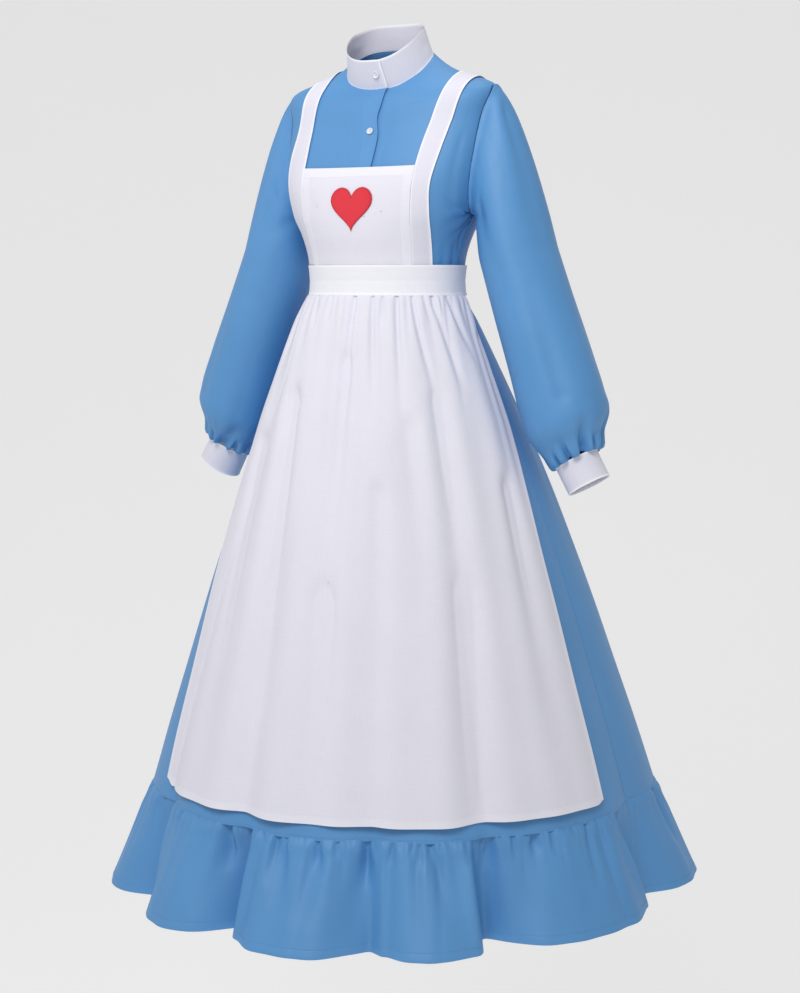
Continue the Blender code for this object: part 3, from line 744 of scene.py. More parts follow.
def sleeve_head(turn, share):
    """From the armhole to the first full ring, leaving the bodice outwards and turning down."""
    angle, station = armhole(turn)
    edge = torso(angle, station)
    centre = torso(np.array(pi / 2), np.array((UNDERARM + SHOULDER_TIP) / 2))
    along = torso(*armhole(turn + 0.01)) - torso(*armhole(turn - 0.01))
    onward = unit(np.cross(normals(torso, angle, station), along))
    side = np.sign(np.sum(onward * (centre - edge), axis=-1, keepdims=True))
    top = (1 + np.cos(turn)) / 2
    outward = unit(spots(HEAD_OUT, -HEAD_FORWARD * np.sin(turn), -HEAD_DOWN * top))
    start = edge + onward * side * 0.0010
    end = sleeve_ring(turn, np.full_like(turn, HEAD_TOP))
    length = np.linalg.norm(end - start, axis=-1, keepdims=True)
    leave = outward * length * (0.50 - 0.15 * top)[:, None]
    arrive = np.array((sin(radians(16)), 0, -cos(radians(16)))) * length
    s = share[:, None]
    line = start * (1 + 2 * s) * (1 - s) ** 2 + leave * s * (1 - s) ** 2
    return line + end * s ** 2 * (3 - 2 * s) + arrive * s ** 2 * (s - 1)


def sleeve_form(round_way, up):
    """The sleeve from its cuff seam up to its head. Round and up are in metres of cloth."""
    turn = -round_way / SLEEVE_WIDE * 2 * pi + pi
    down = SLEEVE_LONG - np.clip(up, 0.0, SLEEVE_LONG)
    share = np.clip(down / HEAD_LONG, 0.0, 1.0)
    drop = HEAD_TOP + (down - HEAD_LONG) / (SLEEVE_LONG - HEAD_LONG) * (SLEEVE_FOOT - HEAD_TOP)
    head = sleeve_head(turn, share)
    return np.where((down < HEAD_LONG)[:, None], head, sleeve_ring(turn, np.maximum(drop, HEAD_TOP)))


print("sleeve rings", len(SLEEVE))

# %% Sleeve creases
# deep end round and up, faint end round and up, width, depth. Round is 0 at the inner seam.
LEFT_SLEEVE_CREASES = [
    (0.170, 0.002, 0.180, 0.060, 0.009, 0.0110),
    (0.240, 0.002, 0.252, 0.070, 0.008, 0.0100),
    (0.206, 0.002, 0.202, 0.030, 0.005, 0.0060),
    (0.128, 0.002, 0.116, 0.040, 0.006, 0.0060),
    (0.048, 0.002, 0.018, 0.050, 0.009, 0.0090),
    (0.088, 0.002, 0.092, 0.026, 0.005, 0.0045),
    (0.290, 0.002, 0.280, 0.050, 0.007, 0.0080),
    (0.338, 0.002, 0.350, 0.070, 0.009, 0.0095),
    (0.385, 0.002, 0.378, 0.035, 0.006, 0.0060),
    (0.424, 0.002, 0.440, 0.050, 0.007, 0.0070),
    (0.150, 0.100, 0.160, 0.470, 0.018, 0.0050),
    (0.205, 0.490, 0.185, 0.140, 0.020, 0.0052),
    (0.075, 0.450, 0.120, 0.200, 0.017, 0.0060),
    (0.040, 0.480, 0.100, 0.400, 0.010, 0.0035),
    (0.300, 0.460, 0.310, 0.220, 0.022, 0.0035),
    (0.400, 0.470, 0.370, 0.330, 0.016, 0.0040),
    (0.255, 0.100, 0.250, 0.370, 0.018, 0.0042),
]
RIGHT_SLEEVE_CREASES = [
    (0.106, 0.002, 0.050, 0.052, 0.008, 0.0095),
    (0.160, 0.002, 0.176, 0.060, 0.009, 0.0100),
    (0.132, 0.002, 0.130, 0.028, 0.005, 0.0055),
    (0.064, 0.002, 0.050, 0.024, 0.006, 0.0060),
    (0.024, 0.002, 0.014, 0.045, 0.007, 0.0070),
    (0.206, 0.002, 0.200, 0.040, 0.006, 0.0065),
    (0.252, 0.002, 0.266, 0.065, 0.009, 0.0095),
    (0.305, 0.002, 0.298, 0.035, 0.006, 0.0060),
    (0.352, 0.002, 0.366, 0.070, 0.008, 0.0090),
    (0.410, 0.002, 0.402, 0.045, 0.007, 0.0070),
    (0.160, 0.090, 0.168, 0.460, 0.018, 0.0052),
    (0.110, 0.450, 0.140, 0.140, 0.018, 0.0056),
    (0.210, 0.480, 0.200, 0.160, 0.018, 0.0046),
    (0.045, 0.470, 0.105, 0.370, 0.010, 0.0035),
    (0.320, 0.450, 0.300, 0.230, 0.022, 0.0035),
    (0.410, 0.470, 0.380, 0.320, 0.016, 0.0036),
]
print("sleeve creases", len(LEFT_SLEEVE_CREASES), "left,", len(RIGHT_SLEEVE_CREASES), "right")

# %% Sleeves
PUFF_HIGH = 0.010
PUFF_OUT = 0.0035
PUFF_OVER = 0.0085


def sleeve(name, left, rows):
    seed = 2 if left else 9

    def place(x, y):
        off_seam = inside(x, SLEEVE_WIDE)
        drawn = creases(x, y, rows)
        lift = drawn * (0.35 + 0.65 * eased(y / 0.008)) + gathers(x, y, 0.012, 0.0006, 0.020, seed)
        lift += gathers(x, SLEEVE_LONG - y, 0.014, 0.0004, 0.012, 4)
        lift = lift * eased(off_seam / 0.012) + seam_dip(off_seam, 0.0008)
        lift += 0.0035 * np.exp(-((SLEEVE_LONG - y) / 0.012) ** 2) * eased((SLEEVE_LONG - y) / 0.004)
        lift -= 0.0022 * np.exp(-(y / 0.0035) ** 2)
        puff = np.exp(-((y - PUFF_HIGH) / 0.009) ** 2) * (1 - eased(-drawn / 0.004))
        lift += PUFF_OUT * puff
        points = lifted(sleeve_form, x, np.clip(y, 0.0005, SLEEVE_LONG - 0.0005), lift)
        ends = sleeve_form(x, y) - sleeve_form(x, np.clip(y, 0.0005, SLEEVE_LONG - 0.0005))
        points += ends
        points += CUFF_WAY * (PUFF_OVER * puff)[:, None]
        return sided(points, left)

    up = stops(0, SLEEVE_LONG, 124, (0.004, SLEEVE_LONG - 0.006))
    return cloth(name, stops(0, SLEEVE_WIDE, 160), up, place, blue_poplin, flip=not left, round_it=True)


sleeve("sleeve_left_cloth", True, LEFT_SLEEVE_CREASES)
sleeve("sleeve_right_cloth", False, RIGHT_SLEEVE_CREASES)

# %% [markdown]
# ## Cuffs
# A cuff is a stiff straight band. Interfacing keeps it smooth, and its edges are pressed seams
# that stand a little proud and catch the light; that light is also painted on them as a whiter
# colour. A cylinder would give the form, but a flat strip that is rolled up keeps the cloth's own
# coordinates, which the weave and the stitches need.

# %% Cuff shape
CUFF_TOP = np.array((0.330, 0.002, -0.653))
CUFF_FOOT = np.array((0.353, 0.002, -0.694))
CUFF_RADIUS = 0.036
CUFF_WIDE = 0.228
CUFF_HIGH = 0.047
EDGE_BEAD = 0.0028
BAND_WALL = 0.0018


def pressed_edge_and_highlight(distance):
    """1 along a band's pressed edge, which stands out a little and gets a painted highlight."""
    return np.exp(-(distance / EDGE_BEAD) ** 2)


def cuff(name, left):
    axis = CUFF_FOOT - CUFF_TOP
    across = unit(np.cross(axis, np.array((0, 1, 0))))

    # the pressed edges: a slight bulge and a painted highlight
    def doubled_and_painted_light(x, y):
        return pressed_edge_and_highlight(inside(y, CUFF_HIGH))

    def place(x, y):
        turn = -x / CUFF_WIDE * 2 * pi + pi
        ring = across * np.cos(turn)[:, None] + np.array((0, -1, 0)) * np.sin(turn)[:, None]
        foot = 1 - y / CUFF_HIGH
        swell = 0.0010 * foot * np.sin(turn * 2 + 0.6) + 0.0005 * np.sin(turn * 3)
        out = CUFF_RADIUS + swell + DOUBLED_OUT * doubled_and_painted_light(x, y)
        points = CUFF_TOP + axis * foot[:, None] + ring * out[:, None]
        return sided(points, left)

    return cloth(name, stops(0, CUFF_WIDE, 96), edged(CUFF_HIGH, 24, 0.002), place, band_cotton,
                 wall=BAND_WALL, doubled_and_painted_light=doubled_and_painted_light, flip=not left, round_it=True)


cuff("cuff_left_band", True)
cuff("cuff_right_band", False)

# %% [markdown]
# ## Stand collar
# The collar is a stiff band that rises from the neckline and leans back. Its wearer's right end
# laps over the left one, above the front lap. The ends overlap, so it isn't a closed ring: one
# end lies half a gap inwards and the other half a gap outwards.

# %% Collar shape
COLLAR_WIDE = 0.440
COLLAR_HIGH = 0.062
COLLAR_CREASES = [
    (0.300, 0.030, 0.345, 0.050, 0.008, 0.0008),
    (0.120, 0.034, 0.160, 0.020, 0.009, 0.0008),
]
BAND_GAP = 0.0025


def collar_point(turn, share, layer):
    """The stand collar from its seam up. Turn runs all the way round from the centre front."""
    station = np.full_like(turn, NECKLINE)
    foot = torso(turn, station)
    top = ring_point(COLLAR_TOP, turn)
    outward = unit(spots(np.sin(turn), -np.cos(turn), 0.3))
    return foot + (top - foot) * share[:, None] + outward * layer[:, None]


def lap_layer(share, spread):
    """How far a band lies in at its first end and out at its last end, where the two lap."""
    near = inside(share, 1) / spread
    return BAND_GAP / 2 * np.sqrt(np.maximum(1 - near, 0.0)) * np.where(share > 0.5, 1, -1)


def collar():
    lap = float(angle_for(FRONT_LAP + 0.006, torso_row(NECKLINE)))

    # the pressed edges: a slight bulge and a painted highlight
    def doubled_and_painted_light(x, y):
        return pressed_edge_and_highlight(np.minimum(inside(x, COLLAR_WIDE), inside(y, COLLAR_HIGH)))

    def place(x, y):
        share = x / COLLAR_WIDE
        turn = -lap + (2 * pi + 2 * lap) * share
        corner = np.exp(-(COLLAR_WIDE - x) / 0.004) + np.exp(-x / 0.004)
        height = y / COLLAR_HIGH * (1 - 0.05 * corner)
        layer = lap_layer(share, 7 / 36) + DOUBLED_OUT * doubled_and_painted_light(x, y)
        layer += 0.0007 * np.exp(-((COLLAR_WIDE - x) / 0.003) ** 2)
        layer += creases(x, y, COLLAR_CREASES)
        return collar_point(turn, height, layer)

    return cloth("collar_band", edged(COLLAR_WIDE, 150, 0.002), edged(COLLAR_HIGH, 24, 0.002), place,
                 band_cotton, wall=BAND_WALL, doubled_and_painted_light=doubled_and_painted_light)


collar()

# %% [markdown]
# ## The skirt and its flounce
# Front and back panels flare from the waist. The flounce below is a strip about half as long
# again as the seam it is gathered into, so it breaks into fine valleys there and stands out in
# deep lobes at the hem. The panels are coarse grids, since they are smooth. The flounce gets
# many more columns, because each fold needs several of them to look round.

# %% Skirt panels
SKIRT_WIDE = 1.34
SKIRT_LONG = 0.862
BACK_WAIST = 0.42
SKIRT_CREASES = [
    (0.300, 0.840, 0.250, 0.300, 0.030, 0.0050),
    (0.460, 0.840, 0.440, 0.250, 0.035, 0.0050),
    (0.620, 0.830, 0.640, 0.200, 0.030, 0.0055),
    (0.800, 0.840, 0.830, 0.260, 0.034, 0.0050),
    (0.980, 0.830, 1.040, 0.300, 0.030, 0.0050),
    (0.150, 0.800, 0.090, 0.300, 0.026, 0.0040),
    (1.180, 0.800, 1.250, 0.300, 0.026, 0.0040),
]


def skirt_panel(name, front):
    start = -pi / 2 if front else pi / 2

    def place(x, y):
        drop = FLOUNCE_SEAM + 0.004 - y / SKIRT_LONG * (FLOUNCE_SEAM + 0.004 - WAIST)
        angle = start + pi * x / SKIRT_WIDE
        local = skirt_row(drop)[0] * pi
        edge = inside(x, SKIRT_WIDE) / SKIRT_WIDE * local
        lift = seam_dip(edge, 0.0022, 0.0034)
        if not front:
            lift += creases(x, y, SKIRT_CREASES)
            along = x / SKIRT_WIDE * BACK_WAIST
            lift += gathers(along, SKIRT_LONG - y, 0.012, 0.0010, 0.030, 11) * eased(edge / 0.02)
        lift -= 0.0016 * eased((0.006 - y) / 0.004)
        return skirt(angle, drop, lift)

    return cloth(name, edged(SKIRT_WIDE, 200, 0.004), stops(0, SKIRT_LONG, 66, (0.006,)), place,
                 blue_poplin)


skirt_panel("skirt_front_panel", True)
skirt_panel("skirt_back_panel", False)

# %% [markdown]
# ## Folds of the flounce
# The flounce's folds come from two tables. One places the valleys where a lobe falls steeply
# and hides the next one. The other places the gathers under the seam, uneven in length and depth.

# %% Flounce folds
FLOUNCE_WIDE = 1.86
FLOUNCE_LONG = 0.172
FLOUNCE_HEM = 0.012
FLOUNCE_GATHERED = 0.74
# across at the seam and at the hem, which side lies over (1 the left one), its fall
FRONT_OVERLAPS = [
    (0.570, 0.552, 1, 0.022),
    (0.872, 0.850, 1, 0.027),
    (1.186, 1.190, 1, -0.008),
    (1.384, 1.404, -1, 0.027),
    (1.770, 1.838, -1, 0.020),
]
BACK_OVERLAPS = [
    (0.330, 0.345, 1, 0.016),
    (0.620, 0.610, -1, 0.018),
    (0.915, 0.910, 1, 0.014),
    (1.215, 1.190, -1, 0.018),
    (1.520, 1.545, 1, 0.016),
]
# deep end across and up, faint end across and up, width, depth
FRONT_GATHERS = [
    (0.575, 0.160, 0.570, 0.149, 0.004, 0.003), (0.659, 0.168, 0.641, 0.136, 0.006, 0.008),
    (0.729, 0.171, 0.723, 0.157, 0.005, 0.006), (0.775, 0.171, 0.771, 0.162, 0.004, 0.004),
    (0.810, 0.171, 0.816, 0.089, 0.010, 0.016), (0.860, 0.171, 0.872, 0.155, 0.005, 0.006),
    (0.812, 0.121, 0.800, 0.017, 0.018, 0.010), (0.891, 0.165, 0.897, 0.150, 0.004, 0.004),
    (0.917, 0.168, 0.932, 0.150, 0.005, 0.006), (0.955, 0.168, 0.950, 0.091, 0.007, 0.009),
    (0.979, 0.169, 0.981, 0.155, 0.004, 0.005), (0.967, 0.160, 0.996, 0.047, 0.014, 0.007),
    (1.019, 0.169, 1.021, 0.160, 0.003, 0.003), (1.050, 0.169, 1.064, 0.110, 0.008, 0.009),
    (1.052, 0.137, 1.047, 0.040, 0.019, 0.009), (1.091, 0.170, 1.093, 0.140, 0.006, 0.009),
    (1.103, 0.170, 1.109, 0.152, 0.004, 0.004), (1.120, 0.170, 1.122, 0.160, 0.003, 0.003),
    (1.153, 0.166, 1.153, 0.090, 0.010, 0.015), (1.169, 0.166, 1.173, 0.144, 0.005, 0.006),
    (1.151, 0.122, 1.136, 0.005, 0.022, 0.012), (1.211, 0.164, 1.206, 0.130, 0.006, 0.007),
    (1.227, 0.164, 1.229, 0.150, 0.004, 0.004), (1.248, 0.165, 1.244, 0.144, 0.005, 0.005),
    (1.266, 0.164, 1.270, 0.126, 0.006, 0.008), (1.287, 0.168, 1.324, 0.050, 0.011, 0.012),
    (1.308, 0.165, 1.308, 0.155, 0.003, 0.003), (1.326, 0.166, 1.330, 0.150, 0.004, 0.005),
    (1.365, 0.165, 1.370, 0.130, 0.006, 0.007), (1.407, 0.168, 1.407, 0.150, 0.005, 0.005),
    (1.425, 0.169, 1.421, 0.111, 0.008, 0.009), (1.446, 0.171, 1.448, 0.148, 0.004, 0.005),
    (1.473, 0.171, 1.483, 0.120, 0.007, 0.010), (1.506, 0.171, 1.510, 0.160, 0.004, 0.004),
    (1.526, 0.171, 1.529, 0.131, 0.007, 0.009), (1.518, 0.149, 1.491, 0.009, 0.024, 0.014),
    (1.564, 0.171, 1.566, 0.125, 0.007, 0.009), (1.597, 0.171, 1.597, 0.160, 0.003, 0.004),
    (1.615, 0.171, 1.624, 0.148, 0.005, 0.006), (1.661, 0.171, 1.648, 0.060, 0.009, 0.010),
    (1.692, 0.171, 1.696, 0.155, 0.004, 0.005), (1.741, 0.171, 1.749, 0.145, 0.006, 0.007),
    (0.422, 0.171, 0.391, 0.122, 0.007, 0.009), (0.527, 0.171, 0.498, 0.134, 0.007, 0.008),
    (0.378, 0.164, 0.412, 0.083, 0.009, 0.008), (0.240, 0.171, 0.250, 0.110, 0.008, 0.010),
    (0.120, 0.171, 0.110, 0.100, 0.009, 0.010),
]
BACK_GATHERS = [
    (0.140, 0.171, 0.150, 0.060, 0.010, 0.013), (0.235, 0.171, 0.228, 0.120, 0.008, 0.009),
    (0.410, 0.171, 0.425, 0.050, 0.010, 0.014), (0.490, 0.171, 0.478, 0.110, 0.007, 0.009),
    (0.560, 0.171, 0.565, 0.130, 0.006, 0.008), (0.700, 0.171, 0.725, 0.040, 0.011, 0.014),
    (0.780, 0.171, 0.776, 0.120, 0.007, 0.009), (0.850, 0.171, 0.846, 0.100, 0.008, 0.010),
    (1.000, 0.171, 1.020, 0.045, 0.011, 0.014), (1.080, 0.171, 1.074, 0.125, 0.007, 0.008),
    (1.150, 0.171, 1.160, 0.090, 0.008, 0.011), (1.300, 0.171, 1.285, 0.050, 0.010, 0.013),
    (1.380, 0.171, 1.388, 0.130, 0.006, 0.008), (1.455, 0.171, 1.448, 0.100, 0.008, 0.010),
    (1.600, 0.171, 1.622, 0.055, 0.011, 0.014), (1.690, 0.171, 1.684, 0.120, 0.007, 0.009),
    (1.770, 0.171, 1.778, 0.110, 0.007, 0.009),
]

print("flounce gathers", len(FRONT_GATHERS), "front,", len(BACK_GATHERS), "back")


# %% Hem flounce
def overlaps(x, away, rows):
    """Valleys between hem lobes, where one lobe falls steeply behind and over the other."""
    share = away / FLOUNCE_LONG
    rise = np.zeros_like(x)
    for seam, foot, over, fall in rows:
        off = (x - seam - (foot - seam) * share) * over
        steep = np.exp(-(np.maximum(off, 0.0) / 0.011) ** 2)
        gentle = np.exp(-(np.minimum(off, 0.0) / 0.050) ** 2)
        crest = 0.30 * np.exp(-((off - 0.024) / 0.016) ** 2)
        rise += fall * eased(0.40 + share * 1.3) * (crest - steep * gentle)
    return rise


def flounce(name, front, seed):
    start = -pi / 2 if front else pi / 2
    valleys = FRONT_OVERLAPS if front else BACK_OVERLAPS
    puckers = FRONT_GATHERS if front else BACK_GATHERS

    def doubled_and_painted_light(x, y):
        return hem_step(y, FLOUNCE_HEM) * 0.4

    def place(x, y):
        drop = HEM - y / FLOUNCE_LONG * (HEM - FLOUNCE_SEAM)
        angle = start + pi * x / FLOUNCE_WIDE
        away = FLOUNCE_LONG - y
        along = x * FLOUNCE_GATHERED
        edge = inside(x, FLOUNCE_WIDE)
        fold = gathers(along, away, 0.0105, 0.0022, 0.014, seed) + creases(x, y, puckers)
        fold += 0.0030 * np.exp(-((away - 0.012) / 0.012) ** 2)
        wide = 0.0060 * wander(along, 0.085, seed + 1) * eased(away / 0.05)
        wide *= 1 - 0.5 * eased(away / 0.17)
        fold += overlaps(x, away, valleys)
        fold *= 0.25 + 0.75 * (1 - np.exp(-away / 0.006))
        lift = (fold + wide) * eased(edge / 0.02) + seam_dip(edge, 0.0010)
        lift -= 0.0008 + 0.0012 * np.exp(-(away / 0.0025) ** 2)
        lift += DOUBLED_OUT * doubled_and_painted_light(x, y) - 0.0005 * np.exp(-((y - FLOUNCE_HEM) / 0.0008) ** 2)
        return skirt(angle, drop, lift)

    up = stops(0, FLOUNCE_LONG, 34, (FLOUNCE_HEM, FLOUNCE_LONG - 0.002))
    return cloth(name, stops(0, FLOUNCE_WIDE, 560), up, place, blue_poplin, doubled_and_painted_light=doubled_and_painted_light)


flounce("hem_flounce_front_cloth", True, 3)
flounce("hem_flounce_back_cloth", False, 8)

# %% [markdown]
# ## The apron's waistband
# The real band is a straight strip, folded double over interfacing. It goes once round the waist,
# laps at the centre back, and a button closes it there. A curve with a bevel would make a band of
# one thickness too, but the waist isn't round and narrows upwards, so the strip is laid on the
# body's own rings.

# %% Waistband
BAND_WIDE = 0.800
BAND_HIGH = 0.0465
WAISTBAND_TOP = 0.3465
WAISTBAND_FOOT = 0.3930
BAND_LIFT = 0.0042
BAND_LAP = 0.12


def waistband():
    # the whole band is moved part way to the whiter colour, and its pressed edges get a painted highlight
    def edge(x, y):
        return pressed_edge_and_highlight(np.minimum(inside(x, BAND_WIDE), inside(y, BAND_HIGH)))

    def place(x, y):
        share = x / BAND_WIDE
        turn = pi - BAND_LAP + (2 * pi + 2 * BAND_LAP) * share
        drop = WAISTBAND_FOOT - y / BAND_HIGH * (WAISTBAND_FOOT - WAISTBAND_TOP)
        lift = BAND_LIFT + lap_layer(share, 6 / 40) + DOUBLED_OUT * edge(x, y)
        lift += 0.0003 * wander(x, 0.05, 4) * np.exp(-y / 0.010)
        return waist_point(turn, drop, lift)

    return cloth("apron_waistband_cloth", edged(BAND_WIDE, 200, 0.002), edged(BAND_HIGH, 22, 0.002),
                 place, band_cotton, wall=BAND_WALL,
                 doubled_and_painted_light=lambda x, y: 0.6 + 0.4 * edge(x, y))


waistband()

# %% [markdown]
# ## Bib and straps
# The bib is one flat piece with a deep turned hem on top and narrow turned sides. Two straps run
# beside it from the waistband over the shoulders to the back of the waistband. A strap laid on a
# slope twists if only its middle line is followed, so each line along it finds its own highest
# point on the shoulder.

# %% Bib
BIB_TOP = 4.66
BIB_LIFT = 0.0036
BIB_WIDE = 0.196
BIB_HIGH = 0.160
BIB_TOP_HEM = 0.015
BIB_SIDE_HEM = 0.013
BIB_CREASES = [
    (0.040, 0.002, 0.060, 0.050, 0.010, 0.0007),
    (0.120, 0.002, 0.105, 0.045, 0.012, 0.0004),
    (0.165, 0.002, 0.160, 0.060, 0.009, 0.0007),
    (0.020, 0.120, 0.030, 0.050, 0.008, 0.0008),
]
BAND_STATION = (WAIST - WAISTBAND_TOP + 0.0009) / WAIST_STATION
# station, bib half width
bib_edge = smooth_table([
    (0, 0.086), (1, 0.089), (3, 0.096), (4.0, 0.099), (4.66, 0.1005), (5, 0.101)])
# station, the straps' inner and outer edges; above the bib they part from its sides
left_strap = smooth_table([
    (0, 0.086, 0.111), (1, 0.089, 0.113), (3, 0.096, 0.121), (4.0, 0.099, 0.1245), (4.66, 0.100, 0.129),
    (5.6, 0.105, 0.137), (6.4, 0.113, 0.145), (7.2, 0.121, 0.153), (8.0, 0.124, 0.156), (9, 0.124, 0.156)])
right_strap = smooth_table([
    (0, 0.086, 0.115), (1, 0.089, 0.120), (3, 0.096, 0.136), (4.0, 0.099, 0.1425), (4.66, 0.1015, 0.1440),
    (5.1, 0.102, 0.1420), (5.6, 0.1030, 0.1375), (6.4, 0.1025, 0.1335), (7.2, 0.100, 0.1325),
    (8.0, 0.099, 0.134), (9, 0.099, 0.136)])


def bib_doubled(x, y):
    sides = hem_step(inside(x, BIB_WIDE), BIB_SIDE_HEM) * 0.7
    return np.maximum(hem_step(BIB_HIGH - y, BIB_TOP_HEM), sides)


def bib():
    def place(x, y):
        station = BAND_STATION + (BIB_TOP - BAND_STATION) * y / BIB_HIGH
        half = bib_edge(station)[0]
        sideways = half * (2 * x / BIB_WIDE - 1)
        lift = BIB_LIFT + 0.0005 * bib_doubled(x, y)
        lift += creases(x, y, BIB_CREASES)
        return lifted(torso, angle_for(sideways, torso_row(station)), station, lift)

    return cloth("apron_bib_cloth", edged(BIB_WIDE, 70, BIB_SIDE_HEM),
                 stops(0, BIB_HIGH, 60, (BIB_HIGH - BIB_TOP_HEM,)), place, apron_cotton, doubled_and_painted_light=bib_doubled)


bib()

# %% Straps
STRAP_LIFT = 0.0022
STRAP_SPACING = 2.2
STRAP_WIDE = 0.033
STRAP_LONG = 0.750


def strap_top(across, edges):
    """The station at which the shoulder is as wide as this line of the strap."""
    return halved(np.full_like(across, SHOULDER_TIP), np.full_like(across, NECKLINE),
                  lambda station: torso_row(station)[3] > strap_x(across, station, edges))


def strap_x(across, station, edges):
    inner, outer = edges(station)
    return inner + 0.0002 + (outer - inner - 0.0002) * across


def strap(name, left, edges):
    # the pressed edges: a slight bulge and a painted highlight
    def doubled_and_painted_light(x, y):
        return pressed_edge_and_highlight(inside(x, STRAP_WIDE))

    def place(x, y):
        across = x / STRAP_WIDE
        share = y / STRAP_LONG
        top = strap_top(across, edges)
        back = share > 0.5
        part = np.where(back, 2 * (1 - share), 2 * share)
        station = top - (top - BAND_STATION) * (1 - part) ** STRAP_SPACING
        angle = angle_for(strap_x(across, station, edges), torso_row(station))
        angle = np.where(back, pi - angle, angle)
        lift = STRAP_LIFT + 0.0005 * doubled_and_painted_light(x, y) + 0.0004
        points = lifted(torso, angle, station, lift)
        return sided(points, left)

    return cloth(name, edged(STRAP_WIDE, 14, 0.002), stops(0, STRAP_LONG, 220), place,
                 band_cotton, wall=0.0012, doubled_and_painted_light=doubled_and_painted_light, flip=not left)


strap("apron_strap_left_cloth", True, left_strap)
strap("apron_strap_right_cloth", False, right_strap)

# %% [markdown]
# ## The apron's skirt
# One wide panel, gathered into the waistband. The gathers are narrow at the band, and run
# together into a few long soft folds that reach the hem. The panel's sides hang free in front of
# the hips, so a table says at which angle each side edge lies on the way down.

# %% Apron skirt shape
APRON_WIDE = 0.88
APRON_LONG = 0.815
APRON_HEM = 1.185
APRON_LIFT = 0.0054
APRON_PUFF = 0.0055
APRON_FOLDS = 9
APRON_FOLD_DEPTH = 0.004
APRON_GATHERED = 0.46
APRON_FOOT_HEM = 0.010
APRON_SIDE_HEM = 0.008
# drop, right edge angle, left edge angle of the apron skirt
APRON_EDGES = [
    (0.393, -92, 104),
    (0.434, -80, 94),
    (0.498, -69, 89),
    (0.600, -58, 85),
    (0.700, -51, 81),
    (0.790, -46.5, 79),
    (0.900, -42.5, 78),
    (1.185, -38, 77),
]
apron_edges = smooth_table(APRON_EDGES)


def apron_form(share, drop, lift):
    """The apron skirt at a share of its width, from the wearer's right edge to the left edge."""
    top_right, top_left = APRON_EDGES[0][1:]
    hem_right, hem_left = APRON_EDGES[-1][1:]
    right, left = apron_edges(drop)
    pull_right = (right - top_right) / (hem_right - top_right)
    pull_left = (left - top_left) / (hem_left - top_left)
    pull = pull_right + (pull_left - pull_right) * np.maximum((share - 0.7) / 0.3, 0.0) ** 2
    start = top_right + (top_left - top_right) * share
    end = hem_right + (hem_left - hem_right) * share
    angle = np.radians(start + (end - start) * pull)
    down = (drop - WAISTBAND_FOOT) / (APRON_HEM - WAISTBAND_FOOT)
    fold = APRON_FOLD_DEPTH * np.clip(down * 3, 0.0, 1.0) * np.cos(2 * pi * APRON_FOLDS * share)
    puff = APRON_LIFT + APRON_PUFF * np.clip(down * 4, 0.0, 1.0)
    near = 0.45 + 0.55 * eased(inside(share, 1) / 0.06)
    return skirt(angle, drop, np.maximum((puff + fold * 0.5) * near + lift, 0.0018))


print("apron edges", len(APRON_EDGES), "rows")

# %% Apron skirt creases
# deep end across and up, faint end across and up, width, depth
APRON_CREASES = [
    (0.257, 0.813, 0.275, 0.755, 0.006, 0.0068),
    (0.330, 0.813, 0.322, 0.770, 0.005, 0.0061),
    (0.416, 0.813, 0.396, 0.640, 0.008, 0.0088),
    (0.474, 0.813, 0.474, 0.640, 0.007, 0.0101),
    (0.506, 0.813, 0.500, 0.760, 0.005, 0.0068),
    (0.551, 0.813, 0.543, 0.600, 0.008, 0.0088),
    (0.598, 0.813, 0.640, 0.640, 0.007, 0.0088),
    (0.636, 0.813, 0.656, 0.770, 0.005, 0.0061),
    (0.670, 0.813, 0.728, 0.650, 0.008, 0.0081),
    (0.728, 0.813, 0.800, 0.700, 0.008, 0.0068),
    (0.200, 0.813, 0.160, 0.620, 0.008, 0.0081),
    (0.120, 0.813, 0.110, 0.660, 0.008, 0.0074),
    (0.396, 0.700, 0.366, 0.240, 0.018, 0.0130),
    (0.366, 0.330, 0.384, -0.250, 0.026, 0.0145),
    (0.235, 0.640, 0.215, -0.200, 0.022, 0.0145),
    (0.560, 0.600, 0.580, 0.200, 0.022, 0.0087),
    (0.640, 0.640, 0.655, 0.240, 0.020, 0.0101),
    (0.652, 0.340, 0.618, -0.200, 0.026, 0.0130),
    (0.860, 0.740, 0.870, 0.400, 0.014, 0.0072),
    (0.800, 0.500, 0.790, -0.150, 0.024, 0.0116),
    (0.480, 0.500, 0.470, 0.060, 0.020, 0.0072),
    (0.110, 0.560, 0.105, -0.300, 0.026, 0.0145),
]

print("apron creases", len(APRON_CREASES))


# %% Apron skirt
# turned hems are double and a little whiter; a painted highlight runs along the hem and side edges
def apron_doubled_and_highlight(x, y):
    side = inside(x, APRON_WIDE)
    hem = np.maximum(hem_step(y, APRON_FOOT_HEM), hem_step(side, APRON_SIDE_HEM))
    return 0.5 * hem + 0.5 * pressed_edge_and_highlight(np.minimum(y, side))


